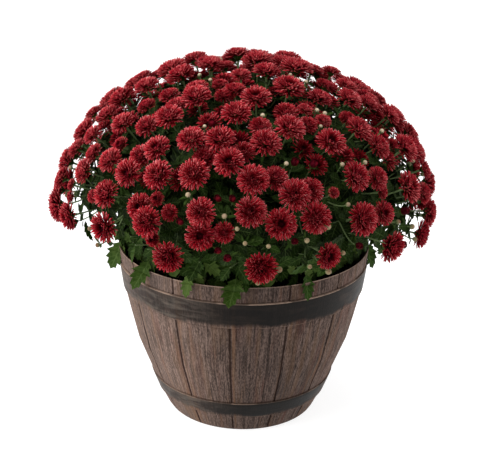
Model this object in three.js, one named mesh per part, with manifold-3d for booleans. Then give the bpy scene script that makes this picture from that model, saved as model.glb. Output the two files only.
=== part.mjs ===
// Pot chrysanthemum in a stave-and-band planter.
// Millimetres, +Z up. The origin is the centre of the planter's underside, and the front faces -Y.

import * as THREE from 'three';
import { mergeVertices } from 'three/addons/utils/BufferGeometryUtils.js';
import Module from 'manifold-3d';

const wasm = await Module();
wasm.setup();

// ---------------------------------------------------------------- driving sizes

const SEED = 4321;
const GAP = 0.3; // between two pieces that touch on the real plant

const STAVES = 14;
const STAVE_PHASE = -5.6; // degrees from the front to the nearest groove
const GROOVE_DEPTH = 2.2;
const GROOVE_HALF_ANGLE = 1.0; // degrees
const BASE_THICKNESS = 6;
const INSIDE_SIDES = 24;
const DRAIN = { radius: 6, ring: 63, count: 4, sides: 6 };

const SOIL_LEVEL = 204;
const SOIL_RELIEF = 2.2;
const WALL_GAP = GAP / 0.9; // measured level across the leaning wall

// The blooms sit on the upper part of a flattened ball.
const DOME = { radius: 241, rise: 183, centre: 287 };

// The bloom plan is drawn on a grid, as seen by someone who stands in front and looks down on the plant.
const EYE = { distance: 1485, aim: 148.5, height: 23.8, pitch: 20.8, turn: -0.16, roll: 0.95 };
const PLAN = { across: 241, down: 238, squares: 1096.6 };

// The rest of the dome: places tried, and the cosine between its face and the eye below which they
// count. Room is the least distance to a neighbour, as a share of both radii.
const HIDDEN = { places: 430, facing: 0.3, radius: [15.5, 21.5], sunk: [0, 5], room: 0.88 };
const LOWEST_BLOOM = -0.12; // height on the ball, as a share of its rise
const BLOOM_TILT = 0.12; // how far an axis leans from the dome's own direction
const SEAM = GAP / 2 + 0.05; // from a bloom's edge to the plane that parts it from a neighbour
const MAX_SPRAY = 6; // blooms that grow as one spray
const MAX_SPRAYS = 45;
const LINK = { radius: 1.2, reach: 14, sunk: 0.2 }; // short stalk between two blooms of a spray
const LEAST_SLANT = 0.05; // how squarely a web's faces look at its middle
const NO_OVERLAP = 1e-3; // cubic millimetres

// Two rings of stems, from the foot in the soil to the crown where the branches part.
const STEM_RINGS = [
  { count: 8, phase: 12, foot: 78, crown: 130, height: 298, upTo: 0.62 },
  { count: 4, phase: 35, foot: 30, crown: 60, height: 350, upTo: 1 },
];
const STEM = { sides: 5, depth: 24, collar: 10, straight: 40, knee: 0.86, play: 0.05 };
const TWIG_SIDES = 3;
const BRANCH_SEAT = 0.4; // from a branch's tip to its bloom
const BRANCH_STARTS = [0.97, 0.88, 0.76, 0.64, 0.52];
const BRANCH_RISE = 0.45; // how long a branch runs square to its bloom, as a share of its length
const CLEAR = 0.25; // least space to any piece that isn't joined

const LEAF = { length: 45, halfWidth: 17, thickness: 1.2, fold: 0.22 };
const LEAF_TRIES = 40;
const LEAVES_ON_BRANCH = 2;
const LEAF_SPAN = [0.3, 0.8]; // stretch of a branch that bears leaves
const LEAF_SIZES = [0.75, 1.1];
const LEAF_LOOK = [-0.1, 0.5]; // how far a leaf turns up towards the dome
const LEAF_ARCH = 5;
const RIM_SHOOTS = { turns: [-13, 9], start: 0.55, reach: 148, height: 247, arch: 3, seat: 0.95 };
const RIM_LEAVES = { over: 198, hang: 228, bend: 0.55, arch: 8 };

const FRONT = -90; // degrees, the side that faces -Y

// ---------------------------------------------------------------- small helpers

const vec = (x, y, z) => new THREE.Vector3(x, y, z);
const degrees = (angle) => THREE.MathUtils.degToRad(angle);
const around = (turn, reach, height) => vec(reach * Math.cos(turn), reach * Math.sin(turn), height);

function makeRandom(seed) {
  let state = seed;
  return (low = 0, high = 1) => {
    state = (state * 16807) % 2147483647;
    return low + ((high - low) * state) / 2147483647;
  };
}

// Corners and triangles of a closed mesh become a solid that can be joined and cut.
function solidOf(points, triangles) {
  return new wasm.Manifold(
    new wasm.Mesh({
      numProp: 3,
      vertProperties: Float32Array.from(points.flatMap((p) => [p.x, p.y, p.z])),
      triVerts: Uint32Array.from(triangles.flat()),
    }),
  );
}

function solidOfGeometry(geometry) {
  const bare = geometry.clone();
  bare.deleteAttribute('normal');
  bare.deleteAttribute('uv');
  const merged = mergeVertices(bare, 1e-4);
  const spots = merged.attributes.position;
  const points = Array.from({ length: spots.count }, (_, i) => vec().fromBufferAttribute(spots, i));
  const triangles = [];
  for (let i = 0; i < merged.index.count; i += 3) {
    const corners = [0, 1, 2].map((k) => merged.index.getX(i + k));
    if (new Set(corners).size === 3) triangles.push(corners);
  }
  return solidOf(points, triangles);
}

const joined = (solids) => (solids.length === 1 ? solids[0] : wasm.Manifold.union(solids));

function meshOf(name, solid, material) {
  const data = solid.getMesh();
  const geometry = new THREE.BufferGeometry();
  geometry.setAttribute('position', new THREE.BufferAttribute(data.vertProperties, 3));
  geometry.setIndex(new THREE.BufferAttribute(data.triVerts, 1));
  geometry.computeVertexNormals();
  const mesh = new THREE.Mesh(geometry, material);
  mesh.name = name;
  return mesh;
}

// A profile of [radius, height] rows, from axis to axis, turned about +Z.
function turned(rows, sides, reshape) {
  const profile = rows.map(([radius, height]) => new THREE.Vector2(radius, height));
  const geometry = new THREE.LatheGeometry(profile, sides);
  geometry.rotateX(Math.PI / 2);
  if (reshape) reshape(geometry.attributes.position, profile.length);
  return solidOfGeometry(geometry);
}

// Two directions square to an axis.
function frameAcross(axis) {
  const helper = Math.abs(axis.z) < 0.9 ? vec(0, 0, 1) : vec(1, 0, 0);
  const side = vec().crossVectors(helper, axis).normalize();
  return [side, vec().crossVectors(axis, side).normalize()];
}

// A stalk with flat ends that runs straight from point to point of its spine, with a radius at each.
function stalk(spine, girths, sides) {
  const points = [];
  const triangles = [];
  const last = spine.length - 1;
  let side = null;
  spine.forEach((centre, i) => {
    const ahead = spine[Math.min(i + 1, last)].clone().sub(spine[Math.max(i - 1, 0)]).normalize();
    side = side ? side.clone().addScaledVector(ahead, -side.dot(ahead)).normalize() : frameAcross(ahead)[0];
    const other = vec().crossVectors(ahead, side);
    for (let k = 0; k < sides; k += 1) {
      const turn = (2 * Math.PI * k) / sides;
      const rim = centre.clone().addScaledVector(side, girths[i] * Math.cos(turn));
      points.push(rim.addScaledVector(other, girths[i] * Math.sin(turn)));
    }
  });
  for (let a = 0; a < last * sides; a += 1) {
    const b = (a + 1) % sides === 0 ? a + 1 - sides : a + 1;
    triangles.push([a, b, b + sides], [a, b + sides, a + sides]);
  }
  const top = last * sides;
  for (let k = 1; k < sides - 1; k += 1) triangles.push([0, k + 1, k], [top, top + k, top + k + 1]);
  return solidOf(points, triangles);
}

// The point that lies a given share of the way along a spine, counted in its steps.
function alongSpine(spine, share) {
  const steps = spine.length - 1;
  const step = Math.min(Math.floor(share * steps), steps - 1);
  return spine[step].clone().lerp(spine[step + 1], share * steps - step);
}

// ---------------------------------------------------------------- planter and soil

const STAVE = true; // a row that the grooves between the staves cut into
const BAND = false;

// Radius, height and kind of row, up the outside.
const OUTSIDE = [
  [98, 0, BAND],
  [103, 5, STAVE],
  [114, 28, STAVE],
  [115.7, 28, BAND],
  [124.2, 51, BAND],
  [122.4, 51, STAVE],
  [142.6, 105, STAVE],
  [158.6, 175, STAVE],
  [160.4, 175, BAND],
  [164.8, 209, BAND],
  [162.9, 209, STAVE],
  [165, 231, STAVE],
];
const RIM = OUTSIDE.at(-1)[1];
const INSIDE = [
  [98, BASE_THICKNESS],
  [109.5, 28],
  [139.5, 110],
  [160, RIM],
];

function groovedShell() {
  const rows = [[0, 0], ...OUTSIDE, [0, RIM]];
  const pitch = (2 * Math.PI) / STAVES;
  const edge = degrees(GROOVE_HALF_ANGLE);
  const first = degrees(FRONT + STAVE_PHASE);
  const columns = [0, edge, pitch / 2, pitch - edge]; // groove, stave edge, stave middle, stave edge
  return turned(rows, STAVES * columns.length, (spots, perColumn) => {
    for (let i = 0; i < spots.count; i += 1) {
      const column = Math.floor(i / perColumn) % (STAVES * columns.length);
      const [row, place] = [rows[i % perColumn], column % columns.length];
      const radius = row[0] - (place === 0 && row[2] === STAVE ? GROOVE_DEPTH : 0);
      const angle = first + pitch * Math.floor(column / columns.length) + columns[place];
      spots.setXYZ(i, radius * Math.cos(angle), radius * Math.sin(angle), row[1]);
    }
  });
}

function planter() {
  const [mouth] = INSIDE.at(-1);
  const hollow = turned([[0, BASE_THICKNESS], ...INSIDE, [mouth, RIM + 5], [0, RIM + 5]], INSIDE_SIDES);
  const drains = Array.from({ length: DRAIN.count }, (_, k) => {
    const hole = new THREE.CylinderGeometry(DRAIN.radius, DRAIN.radius, 3 * BASE_THICKNESS, DRAIN.sides);
    hole.rotateX(Math.PI / 2);
    hole.translate(DRAIN.ring, 0, 0);
    hole.rotateZ(degrees(45 + (360 * k) / DRAIN.count));
    return solidOfGeometry(hole);
  });
  return groovedShell().subtract(hollow).subtract(joined(drains));
}

const relief = (x, y) => SOIL_RELIEF * (Math.sin(x / 17 + 1) * Math.cos(y / 21) + Math.sin((x + y) / 9) / 2);

function soil(holes) {
  const wall = INSIDE.slice(0, -1).map(([radius, height]) => [radius - WALL_GAP, height]);
  wall[0][1] += GAP;
  const [low, high] = INSIDE.slice(-2);
  const share = (SOIL_LEVEL - low[1]) / (high[1] - low[1]);
  const edge = low[0] + share * (high[0] - low[0]) - WALL_GAP;
  const top = [1, 0.78, 0.5, 0.22, 0].map((part) => [edge * part, SOIL_LEVEL]);
  const rows = [[0, wall[0][1]], ...wall, ...top];
  const firstTop = rows.length - top.length + 1;
  const body = turned(rows, INSIDE_SIDES, (spots, perColumn) => {
    for (let i = 0; i < spots.count; i += 1) {
      const lift = i % perColumn >= firstTop ? relief(spots.getX(i), spots.getY(i)) : 0;
      spots.setZ(i, spots.getZ(i) + lift);
    }
  });
  return body.subtract(joined(holes));
}

// ---------------------------------------------------------------- where the blooms sit

// Hand-drawn plan of the blooms that show from the front: squares across, squares down,
// width in squares, and how far in millimetres each is sunk among its neighbours.
const SEEN_BLOOMS = [
  [89, 112, 22, 0], [112, 95, 24, 0], [124, 90, 18, 8], [139, 74, 22, 0], [152, 71, 16, 4],
  [172, 69, 30, 0], [147, 86, 26, 0], [166, 87, 22, 12], [107, 115, 25, 0], [121, 121, 26, 4],
  [142, 98, 20, 12], [174, 100, 26, 10], [196, 97, 31, 0], [169, 117, 30, 0], [146, 125, 25, 2],
  [193, 54, 28, 0], [211, 63, 26, 3], [225, 60, 20, 8], [238, 54, 28, 0], [256, 56, 22, 8],
  [269, 54, 18, 4], [287, 58, 30, 0], [266, 71, 28, 0], [241, 74, 21, 2], [235, 84, 24, 9],
  [223, 86, 20, 14], [195, 82, 26, 10], [219, 76, 18, 12], [256, 98, 31, 0], [236, 112, 30, 2],
  [289, 87, 32, 0], [288, 106, 26, 11], [261, 122, 24, 9], [290, 128, 32, 0], [313, 66, 24, 5],
  [334, 68, 21, 0], [328, 78, 20, 10], [347, 85, 24, 2], [358, 92, 18, 8], [349, 99, 27, 0],
  [322, 92, 26, 9], [353, 112, 20, 12], [306, 107, 16, 4], [369, 102, 22, 2], [382, 96, 22, 0],
  [389, 115, 25, 0], [324, 119, 17, 3], [310, 120, 20, 8], [359, 129, 29, 0], [92, 134, 22, 2],
  [77, 148, 22, 0], [90, 151, 22, 6], [114, 139, 18, 12], [110, 160, 27, 0], [84, 171, 26, 0],
  [62, 178, 24, 0], [70, 184, 12, 2], [137, 152, 25, 9], [157, 148, 28, 0], [128, 173, 29, 0],
  [158, 175, 31, 0], [106, 194, 29, 0], [87, 195, 14, 8], [68, 196, 12, 4], [191, 139, 29, 0],
  [220, 139, 31, 0], [203, 153, 26, 11], [229, 162, 31, 0], [194, 174, 32, 0], [266, 143, 32, 0],
  [244, 146, 24, 13], [253, 180, 32, 0], [277, 175, 27, 10], [295, 195, 33, 0], [331, 142, 31, 0],
  [379, 146, 27, 1], [405, 148, 31, 0], [424, 169, 21, 0], [356, 177, 31, 0], [380, 177, 25, 5],
  [388, 190, 15, 9], [409, 187, 32, 0], [423, 193, 22, 0], [314, 188, 27, 10], [335, 192, 12, 3],
  [69, 216, 28, 0], [104, 227, 31, 0], [136, 206, 28, 8], [147, 222, 32, 0], [147, 241, 16, 12],
  [165, 212, 18, 12], [152, 197, 16, 12], [168, 257, 32, 0], [201, 212, 30, 0], [199, 236, 30, 5],
  [223, 233, 22, 8], [251, 212, 32, 0], [281, 224, 32, 0], [261, 268, 33, 0], [316, 218, 32, 0],
  [363, 219, 34, 0], [386, 213, 25, 4], [330, 257, 27, 4], [392, 247, 32, 0], [429, 211, 26, 0],
];

const domeCentre = vec(0, 0, DOME.centre);
const domeShrink = vec(1 / DOME.radius, 1 / DOME.radius, 1 / DOME.rise);

function eyeFrame() {
  const [height, pitch, turn] = [EYE.height, EYE.pitch, EYE.turn].map(degrees);
  const spot = vec(0, -EYE.distance * Math.cos(height), EYE.aim + EYE.distance * Math.sin(height));
  const ahead = vec(Math.sin(turn) * Math.cos(pitch), Math.cos(turn) * Math.cos(pitch), -Math.sin(pitch));
  const level = vec().crossVectors(ahead, vec(0, 0, 1)).normalize();
  const upright = vec().crossVectors(level, ahead);
  const [c, s] = [Math.cos(degrees(EYE.roll)), Math.sin(degrees(EYE.roll))];
  const right = level.clone().multiplyScalar(c).addScaledVector(upright, s);
  const up = upright.clone().multiplyScalar(c).addScaledVector(level, -s);
  return { spot, ahead, right, up };
}

// A spot as a point of the round ball that the dome is flattened from, and the dome's direction there.
const onBall = (spot) => spot.clone().sub(domeCentre).multiply(domeShrink);
const domeNormal = (spot) => onBall(spot).multiply(domeShrink).normalize();
const onDome = (ball) => ball.divide(domeShrink).add(domeCentre);

// Where the line of sight through a square of the plan meets the dome, or passes closest to it.
function seenBloom(eye, random, [across, down, width, sunk]) {
  const sight = eye.ahead
    .clone()
    .addScaledVector(eye.right, (across - PLAN.across) / PLAN.squares)
    .addScaledVector(eye.up, (PLAN.down - down) / PLAN.squares);
  const from = onBall(eye.spot);
  const along = sight.clone().multiply(domeShrink);
  const half = from.dot(along) / along.lengthSq();
  const inside = half * half - (from.lengthSq() - 1) / along.lengthSq();
  const depth = -half - Math.sqrt(Math.max(inside, 0));
  const spot = onDome(from.addScaledVector(along, depth).normalize());
  return bloomAt(spot, (width * depth) / PLAN.squares / 2, sunk, random);
}

function bloomAt(spot, radius, sunk, random) {
  const normal = domeNormal(spot);
  const [side, other] = frameAcross(normal);
  const axis = normal.clone().addScaledVector(side, random(-BLOOM_TILT, BLOOM_TILT));
  axis.addScaledVector(other, random(-BLOOM_TILT, BLOOM_TILT)).normalize();
  return { centre: spot.clone().addScaledVector(normal, -sunk), axis, radius, spin: random(0, Math.PI) };
}

function hiddenBlooms(eye, seen, random) {
  const blooms = [...seen];
  const goldenAngle = Math.PI * (3 - Math.sqrt(5));
  for (let i = 0; i < HIDDEN.places; i += 1) {
    const height = 1 - ((i + 0.5) / HIDDEN.places) * (1 - LOWEST_BLOOM);
    const level = Math.sqrt(1 - height * height);
    const spot = onDome(around(i * goldenAngle, level, height));
    const radius = random(...HIDDEN.radius);
    const facing = domeNormal(spot).dot(eye.spot.clone().sub(spot).normalize());
    const room = blooms.every((b) => b.centre.distanceTo(spot) > HIDDEN.room * (b.radius + radius));
    if (facing < HIDDEN.facing && room) blooms.push(bloomAt(spot, radius, random(...HIDDEN.sunk), random));
  }
  return blooms;
}

// ---------------------------------------------------------------- blooms

// Two layers of petals stand out of a low dome: each row is reach and height for tip and notch.
const BLOOM = {
  outer: { tip: [1, -0.12], notch: [0.84, 0.02] },
  inner: { tip: [0.66, 0.32], notch: [0.47, 0.27] },
  crown: 0.34,
  base: -0.42,
};
const PETALS = [
  { from: 19.5, count: 7 },
  { from: 11, count: 5 },
  { from: 0, count: 4 },
]; // by radius

// How far a point lies past the plane that parts two blooms.
function pastMiddle(point, bloom, other) {
  const apart = other.centre.clone().sub(bloom.centre);
  const distance = apart.length();
  const own = (distance * bloom.radius) / (bloom.radius + other.radius);
  return point.clone().sub(bloom.centre).dot(apart) / distance - own;
}

// Draws a corner in towards the bloom's middle until it is clear of every neighbour.
function keepOwnSide(point, bloom) {
  bloom.near.forEach((other) => {
    const past = pastMiddle(point, bloom, other);
    const own = pastMiddle(bloom.centre, bloom, other);
    if (past > -SEAM) point.lerpVectors(bloom.centre, point, (-SEAM - own) / (past - own));
  });
}

// Corner 0 is under the bloom and corner 1 is its crown; the outer and then the inner petals follow.
function shapeBloom(bloom) {
  bloom.petals = PETALS.find(({ from }) => bloom.radius > from).count;
  const columns = 2 * bloom.petals;
  const [side, other] = frameAcross(bloom.axis);
  const spotOf = (turn, [reach, height]) =>
    bloom.centre
      .clone()
      .addScaledVector(side, bloom.radius * reach * Math.cos(turn))
      .addScaledVector(other, bloom.radius * reach * Math.sin(turn))
      .addScaledVector(bloom.axis, bloom.radius * height);
  bloom.points = [spotOf(0, [0, BLOOM.base]), spotOf(0, [0, BLOOM.crown])];
  [BLOOM.outer, BLOOM.inner].forEach((layer, level) => {
    for (let k = 0; k < columns; k += 1) {
      const row = (k + level) % 2 === 0 ? layer.tip : layer.notch;
      bloom.points.push(spotOf((Math.PI * k) / bloom.petals + bloom.spin, row));
    }
  });
  bloom.points.forEach((point) => keepOwnSide(point, bloom));
  bloom.wedges = [];
  bloom.upper = [];
  for (let k = 0; k < columns; k += 1) {
    const [a, b] = [2 + k, 2 + ((k + 1) % columns)];
    const [c, d] = [a + columns, b + columns];
    bloom.wedges.push([0, b, a]);
    bloom.upper.push([a, b, d], [a, d, c], [c, d, 1]);
  }
  bloom.solid = solidOf(bloom.points, [...bloom.wedges, ...bloom.upper]);
}

// ---------------------------------------------------------------- sprays of blooms

// The wedges under a bloom that face another one, the best first.
function wedgesTowards(bloom, other) {
  const apart = other.centre.clone().sub(bloom.centre);
  const [side, across] = frameAcross(bloom.axis);
  const turn = Math.atan2(apart.dot(across), apart.dot(side)) - bloom.spin;
  const columns = bloom.wedges.length;
  const facing = Math.floor((turn / Math.PI) * bloom.petals);
  return [0, 1, -1].map((shift) => (((facing + shift) % columns) + columns) % columns);
}

// A web of tissue that joins the undersides of two blooms of a spray, from wedge to wedge.
function webBetween(bloom, from, other, to) {
  const near = bloom.wedges[from].map((corner) => bloom.points[corner]);
  const far = [0, 2, 1].map((k) => other.points[other.wedges[to][k]]);
  const sides = [0, 1, 2].flatMap((k) => {
    const next = (k + 1) % 3;
    return [[k, next, next + 3], [k, next + 3, k + 3]];
  });
  const points = [...near, ...far];
  const triangles = [...sides, [0, 2, 1], [3, 4, 5]];
  const plain = facesMiddle(points, triangles);
  return { bloom, other, from, to, sides, plain, solid: solidOf(points, triangles) };
}

// Whether every face can be seen from the middle of a small solid, so that none crosses another.
function facesMiddle(points, triangles) {
  const middle = points.reduce((sum, p) => sum.add(p), vec(0, 0, 0)).divideScalar(points.length);
  return triangles.every((corners) => {
    const [a, b, c] = corners.map((k) => points[k]);
    const normal = vec().crossVectors(b.clone().sub(a), c.clone().sub(a));
    return normal.dot(a.clone().sub(middle)) > LEAST_SLANT * normal.length();
  });
}

const beside = (bloom, wedge) =>
  bloom.taken.some((used) => [0, 1, bloom.wedges.length - 1].includes(Math.abs(used - wedge)));

function webFits(web, webs) {
  if (!web.plain || beside(web.bloom, web.from) || beside(web.other, web.to)) return false;
  const ends = [web.bloom, web.other];
  const shared = webs.filter((one) => ends.includes(one.bloom) || ends.includes(one.other));
  const apart = [...ends, ...shared].every((one) => web.solid.intersect(one.solid).volume() < NO_OVERLAP);
  return apart && clearOfOthers(web, webs);
}

function clearOfOthers(tie, ties) {
  const ends = [tie.bloom, tie.other];
  const thirds = ends.flatMap((end) => end.near).filter((third) => !ends.includes(third));
  const strangers = ties.filter((one) => !ends.includes(one.bloom) && !ends.includes(one.other));
  return [...thirds, ...strangers].every((one) => tie.solid.minGap(one.solid, 1) > GAP);
}

function findWeb(bloom, other, ties) {
  const choices = wedgesTowards(bloom, other).flatMap((from) =>
    wedgesTowards(other, bloom).map((to) => webBetween(bloom, from, other, to)),
  );
  return choices.find((web) => webFits(web, ties));
}

// Where no web fits, a short stalk runs from one bloom to the other under their faces.
function findStalk(bloom, other, ties) {
  const ends = [bloom, other].map((b) => b.centre.clone().addScaledVector(b.axis, -LINK.sunk * b.radius));
  const solid = stalk(ends, [LINK.radius, LINK.radius], TWIG_SIDES);
  const tie = { bloom, other, solid };
  return clearOfOthers(tie, ties) ? tie : undefined;
}

// Joins near neighbours into sprays, the nearest first, until few enough are left.
function sprays(blooms) {
  const reach = (a, b) => a.centre.distanceTo(b.centre);
  blooms.forEach((bloom) => {
    bloom.near = blooms.filter((b) => b !== bloom && reach(b, bloom) < bloom.radius + b.radius + LINK.reach);
    bloom.taken = [];
  });
  blooms.forEach(shapeBloom);
  const pairs = blooms.flatMap((bloom, i) =>
    bloom.near.filter((other) => blooms.indexOf(other) > i).map((other) => [bloom, other]),
  );
  pairs.sort((one, two) => reach(...one) - reach(...two));
  const groups = new Map(blooms.map((bloom) => [bloom, { blooms: [bloom], ties: [] }]));
  const ties = [];
  const tieAll = (find, most) => {
    pairs.forEach(([a, b]) => {
      const [one, two] = [groups.get(a), groups.get(b)];
      const enough = new Set(groups.values()).size <= MAX_SPRAYS;
      if (enough || one === two || one.blooms.length + two.blooms.length > most) return;
      const tie = find(a, b, ties);
      if (!tie) return;
      ties.push(tie);
      if (tie.sides) a.taken.push(tie.from);
      if (tie.sides) b.taken.push(tie.to);
      one.blooms.push(...two.blooms);
      one.ties.push(tie, ...two.ties);
      two.blooms.forEach((bloom) => groups.set(bloom, one));
    });
  };
  for (let most = 2; most <= MAX_SPRAY; most += 1) tieAll(findWeb, most);
  tieAll(findStalk, MAX_SPRAY + 1);
  return [...new Set(groups.values())];
}

function spraySolid(spray) {
  const points = [];
  const triangles = [];
  const webs = spray.ties.filter((tie) => tie.sides);
  const stalks = spray.ties.filter((tie) => !tie.sides);
  spray.blooms.forEach((bloom) => {
    bloom.first = points.length;
    points.push(...bloom.points);
    const closed = bloom.wedges.filter((_, k) => !bloom.taken.includes(k));
    triangles.push(...[...closed, ...bloom.upper].map((corners) => corners.map((c) => c + bloom.first)));
  });
  webs.forEach((web) => {
    const near = web.bloom.wedges[web.from].map((corner) => corner + web.bloom.first);
    const far = [0, 2, 1].map((k) => web.other.wedges[web.to][k] + web.other.first);
    triangles.push(...web.sides.map((corners) => corners.map((c) => [...near, ...far][c])));
  });
  return joined([solidOf(points, triangles), ...stalks.map((tie) => tie.solid)]);
}

// ---------------------------------------------------------------- leaves

// Half of a lobed leaf: share of its length and of its half width, from the stalk to the tip.
const LEAF_EDGE = [
  [0.24, 0.07],
  [0.56, 0.95],
  [0.62, 0.42],
  [0.82, 0.72],
];
const LEAF_ROOT = { side: 0.032, face: 0.42 }; // half width as a share, half thickness in millimetres
const LEAF_RIB = [0.24, 0.62]; // where the rib has a corner

// The blade is split alike on both faces, so that it can bend and fold.
function leafSolid(root, bend, tip, halfWidth) {
  const curve = new THREE.QuadraticBezierCurve3(root, bend, tip);
  const spotOf = (along, aside, lift) => {
    const ahead = curve.getTangent(along);
    const [side, face] = frameAcross(ahead);
    return curve.getPoint(along).addScaledVector(side, aside * halfWidth).addScaledVector(face, lift);
  };
  const half = LEAF.thickness / 2;
  const left = LEAF_EDGE.map(([along, aside]) => spotOf(along, aside, LEAF.fold * aside * halfWidth));
  const right = LEAF_EDGE.map(([along, aside]) => spotOf(along, -aside, LEAF.fold * aside * halfWidth));
  const upper = LEAF_RIB.map((along) => spotOf(along, 0, half));
  const lower = LEAF_RIB.map((along) => spotOf(along, 0, -half));
  const { side: narrow, face: thin } = LEAF_ROOT;
  const base = [[narrow, 0], [0, thin], [-narrow, 0], [0, -thin]].map(([a, lift]) => spotOf(0, a, lift));
  const points = [...base, ...left, ...right, ...upper, ...lower, tip];
  const [L, R, U, D, T] = [4, 8, 12, 14, 16];
  const face = (edge, rib, side, root) => [
    [side, edge, root],
    [root, edge, rib],
    [rib, edge, edge + 1],
    [rib, edge + 1, rib + 1],
    [rib + 1, edge + 1, edge + 2],
    [rib + 1, edge + 2, edge + 3],
    [rib + 1, edge + 3, T],
  ];
  const flip = ([a, b, c]) => [a, c, b];
  const triangles = [
    ...face(L, U, 0, 1).map(flip),
    ...face(L, D, 0, 3),
    ...face(R, U, 2, 1),
    ...face(R, D, 2, 3).map(flip),
    [0, 2, 1],
    [0, 3, 2],
  ];
  return solidOf(points, triangles);
}

// ---------------------------------------------------------------- stems

const STEM_GIRTHS = [3.4, 3.1, 2.8, 2.5, 2.2]; // radius at each point of a stem, from its foot
const BRANCH_GIRTHS = [1.5, 1.6, 0.6];
const SHOOT_GIRTHS = [1.5, 1.5, 1.3];

const isClear = (solid, others) => others.every((other) => solid.minGap(other, 1) > CLEAR);

function makeStem(ring, k) {
  const turn = degrees(FRONT + ring.phase + (360 * k) / ring.count);
  const foot = (height) => around(turn, ring.foot, SOIL_LEVEL + height);
  const crown = around(turn, ring.crown, ring.height);
  const knee = around(turn, ring.crown * STEM.knee, ring.height - STEM.straight);
  const curve = new THREE.CubicBezierCurve3(foot(STEM.collar), foot(STEM.straight), knee, crown);
  const spine = [foot(GAP - STEM.depth), ...curve.getPoints(STEM_GIRTHS.length - 2)];
  const wide = STEM_GIRTHS[0] + GAP / Math.cos(Math.PI / STEM.sides) + STEM.play;
  return {
    turn,
    spine,
    upTo: ring.upTo,
    parts: [stalk(spine, STEM_GIRTHS, STEM.sides)],
    hole: stalk([foot(-STEM.depth), foot(2 * STEM.collar)], [wide, wide], STEM.sides),
  };
}

// The stem whose side of the plant a spray grows on.
function stemFor(spray, stems) {
  const sum = spray.blooms.reduce((total, b) => total.add(b.centre), vec(0, 0, 0));
  const ball = onBall(sum.divideScalar(spray.blooms.length)).normalize();
  const ring = Math.min(...stems.map((stem) => stem.upTo).filter((upTo) => upTo >= ball.z));
  const near = (stem) => Math.cos(stem.turn) * ball.x + Math.sin(stem.turn) * ball.y;
  return stems.filter((stem) => stem.upTo === ring).sort((a, b) => near(b) - near(a))[0];
}

// A branch comes up square under one bloom of the spray, by the first way that is clear.
function growBranch(spray, stem, others) {
  for (const bloom of spray.blooms) {
    const down = bloom.centre.clone().sub(bloom.points[1]).normalize();
    const end = bloom.points[0].clone().addScaledVector(down, BRANCH_SEAT);
    for (const start of BRANCH_STARTS) {
      const root = alongSpine(stem.spine, start);
      const bend = end.clone().addScaledVector(down, BRANCH_RISE * end.distanceTo(root));
      const spine = new THREE.QuadraticBezierCurve3(root, bend, end).getPoints(BRANCH_GIRTHS.length - 1);
      const solid = stalk(spine, BRANCH_GIRTHS, TWIG_SIDES);
      if (isClear(solid, others)) return { spine, solid };
    }
  }
  return undefined;
}

function growLeaf(spine, random, others) {
  for (let k = 0; k < LEAF_TRIES; k += 1) {
    const root = alongSpine(spine, random(...LEAF_SPAN));
    const normal = domeNormal(root);
    const [side, across] = frameAcross(normal);
    const turn = random(0, 2 * Math.PI);
    const size = random(...LEAF_SIZES);
    const ahead = side.clone().multiplyScalar(Math.cos(turn)).addScaledVector(across, Math.sin(turn));
    ahead.addScaledVector(normal, random(...LEAF_LOOK)).normalize();
    const tip = root.clone().addScaledVector(ahead, size * LEAF.length);
    const bend = root.clone().lerp(tip, 0.5).add(vec(0, 0, LEAF_ARCH));
    const solid = leafSolid(root, bend, tip, size * LEAF.halfWidth);
    if (isClear(solid, others)) return solid;
  }
  return undefined;
}

// A low side shoot ends in a leaf that hangs over the rim.
function rimShoot(stem, shift, random, others) {
  const { start, reach, height, arch, seat } = RIM_SHOOTS;
  const { over, hang, bend } = RIM_LEAVES;
  for (let k = 0; k < LEAF_TRIES; k += 1) {
    const turn = stem.turn + degrees(shift + random(-5, 5));
    const root = alongSpine(stem.spine, start);
    const end = around(turn, reach, height + random(-2, 4));
    const spine = [root, root.clone().lerp(end, 0.5).add(vec(0, 0, arch)), end];
    const twig = stalk(spine, SHOOT_GIRTHS, TWIG_SIDES);
    const tip = around(turn + degrees(random(-6, 6)), over + random(-6, 8), hang + random(-8, 8));
    const knee = around(turn, bend * (reach + over), height + RIM_LEAVES.arch);
    const leaf = leafSolid(alongSpine(spine, seat), knee, tip, LEAF.halfWidth);
    if (isClear(twig, others) && isClear(leaf, others)) return [twig, leaf];
  }
  return [];
}

// ---------------------------------------------------------------- the whole plant

const COLOURS = {
  planter: new THREE.MeshStandardMaterial({ color: 0x76665c, roughness: 0.7, metalness: 0 }),
  soil: new THREE.MeshStandardMaterial({ color: 0x2b2019, roughness: 1, metalness: 0 }),
  leaf: new THREE.MeshStandardMaterial({ color: 0x35542a, roughness: 0.6, metalness: 0 }),
  petal: new THREE.MeshStandardMaterial({ color: 0x9c1526, roughness: 0.6, metalness: 0 }),
};

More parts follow.
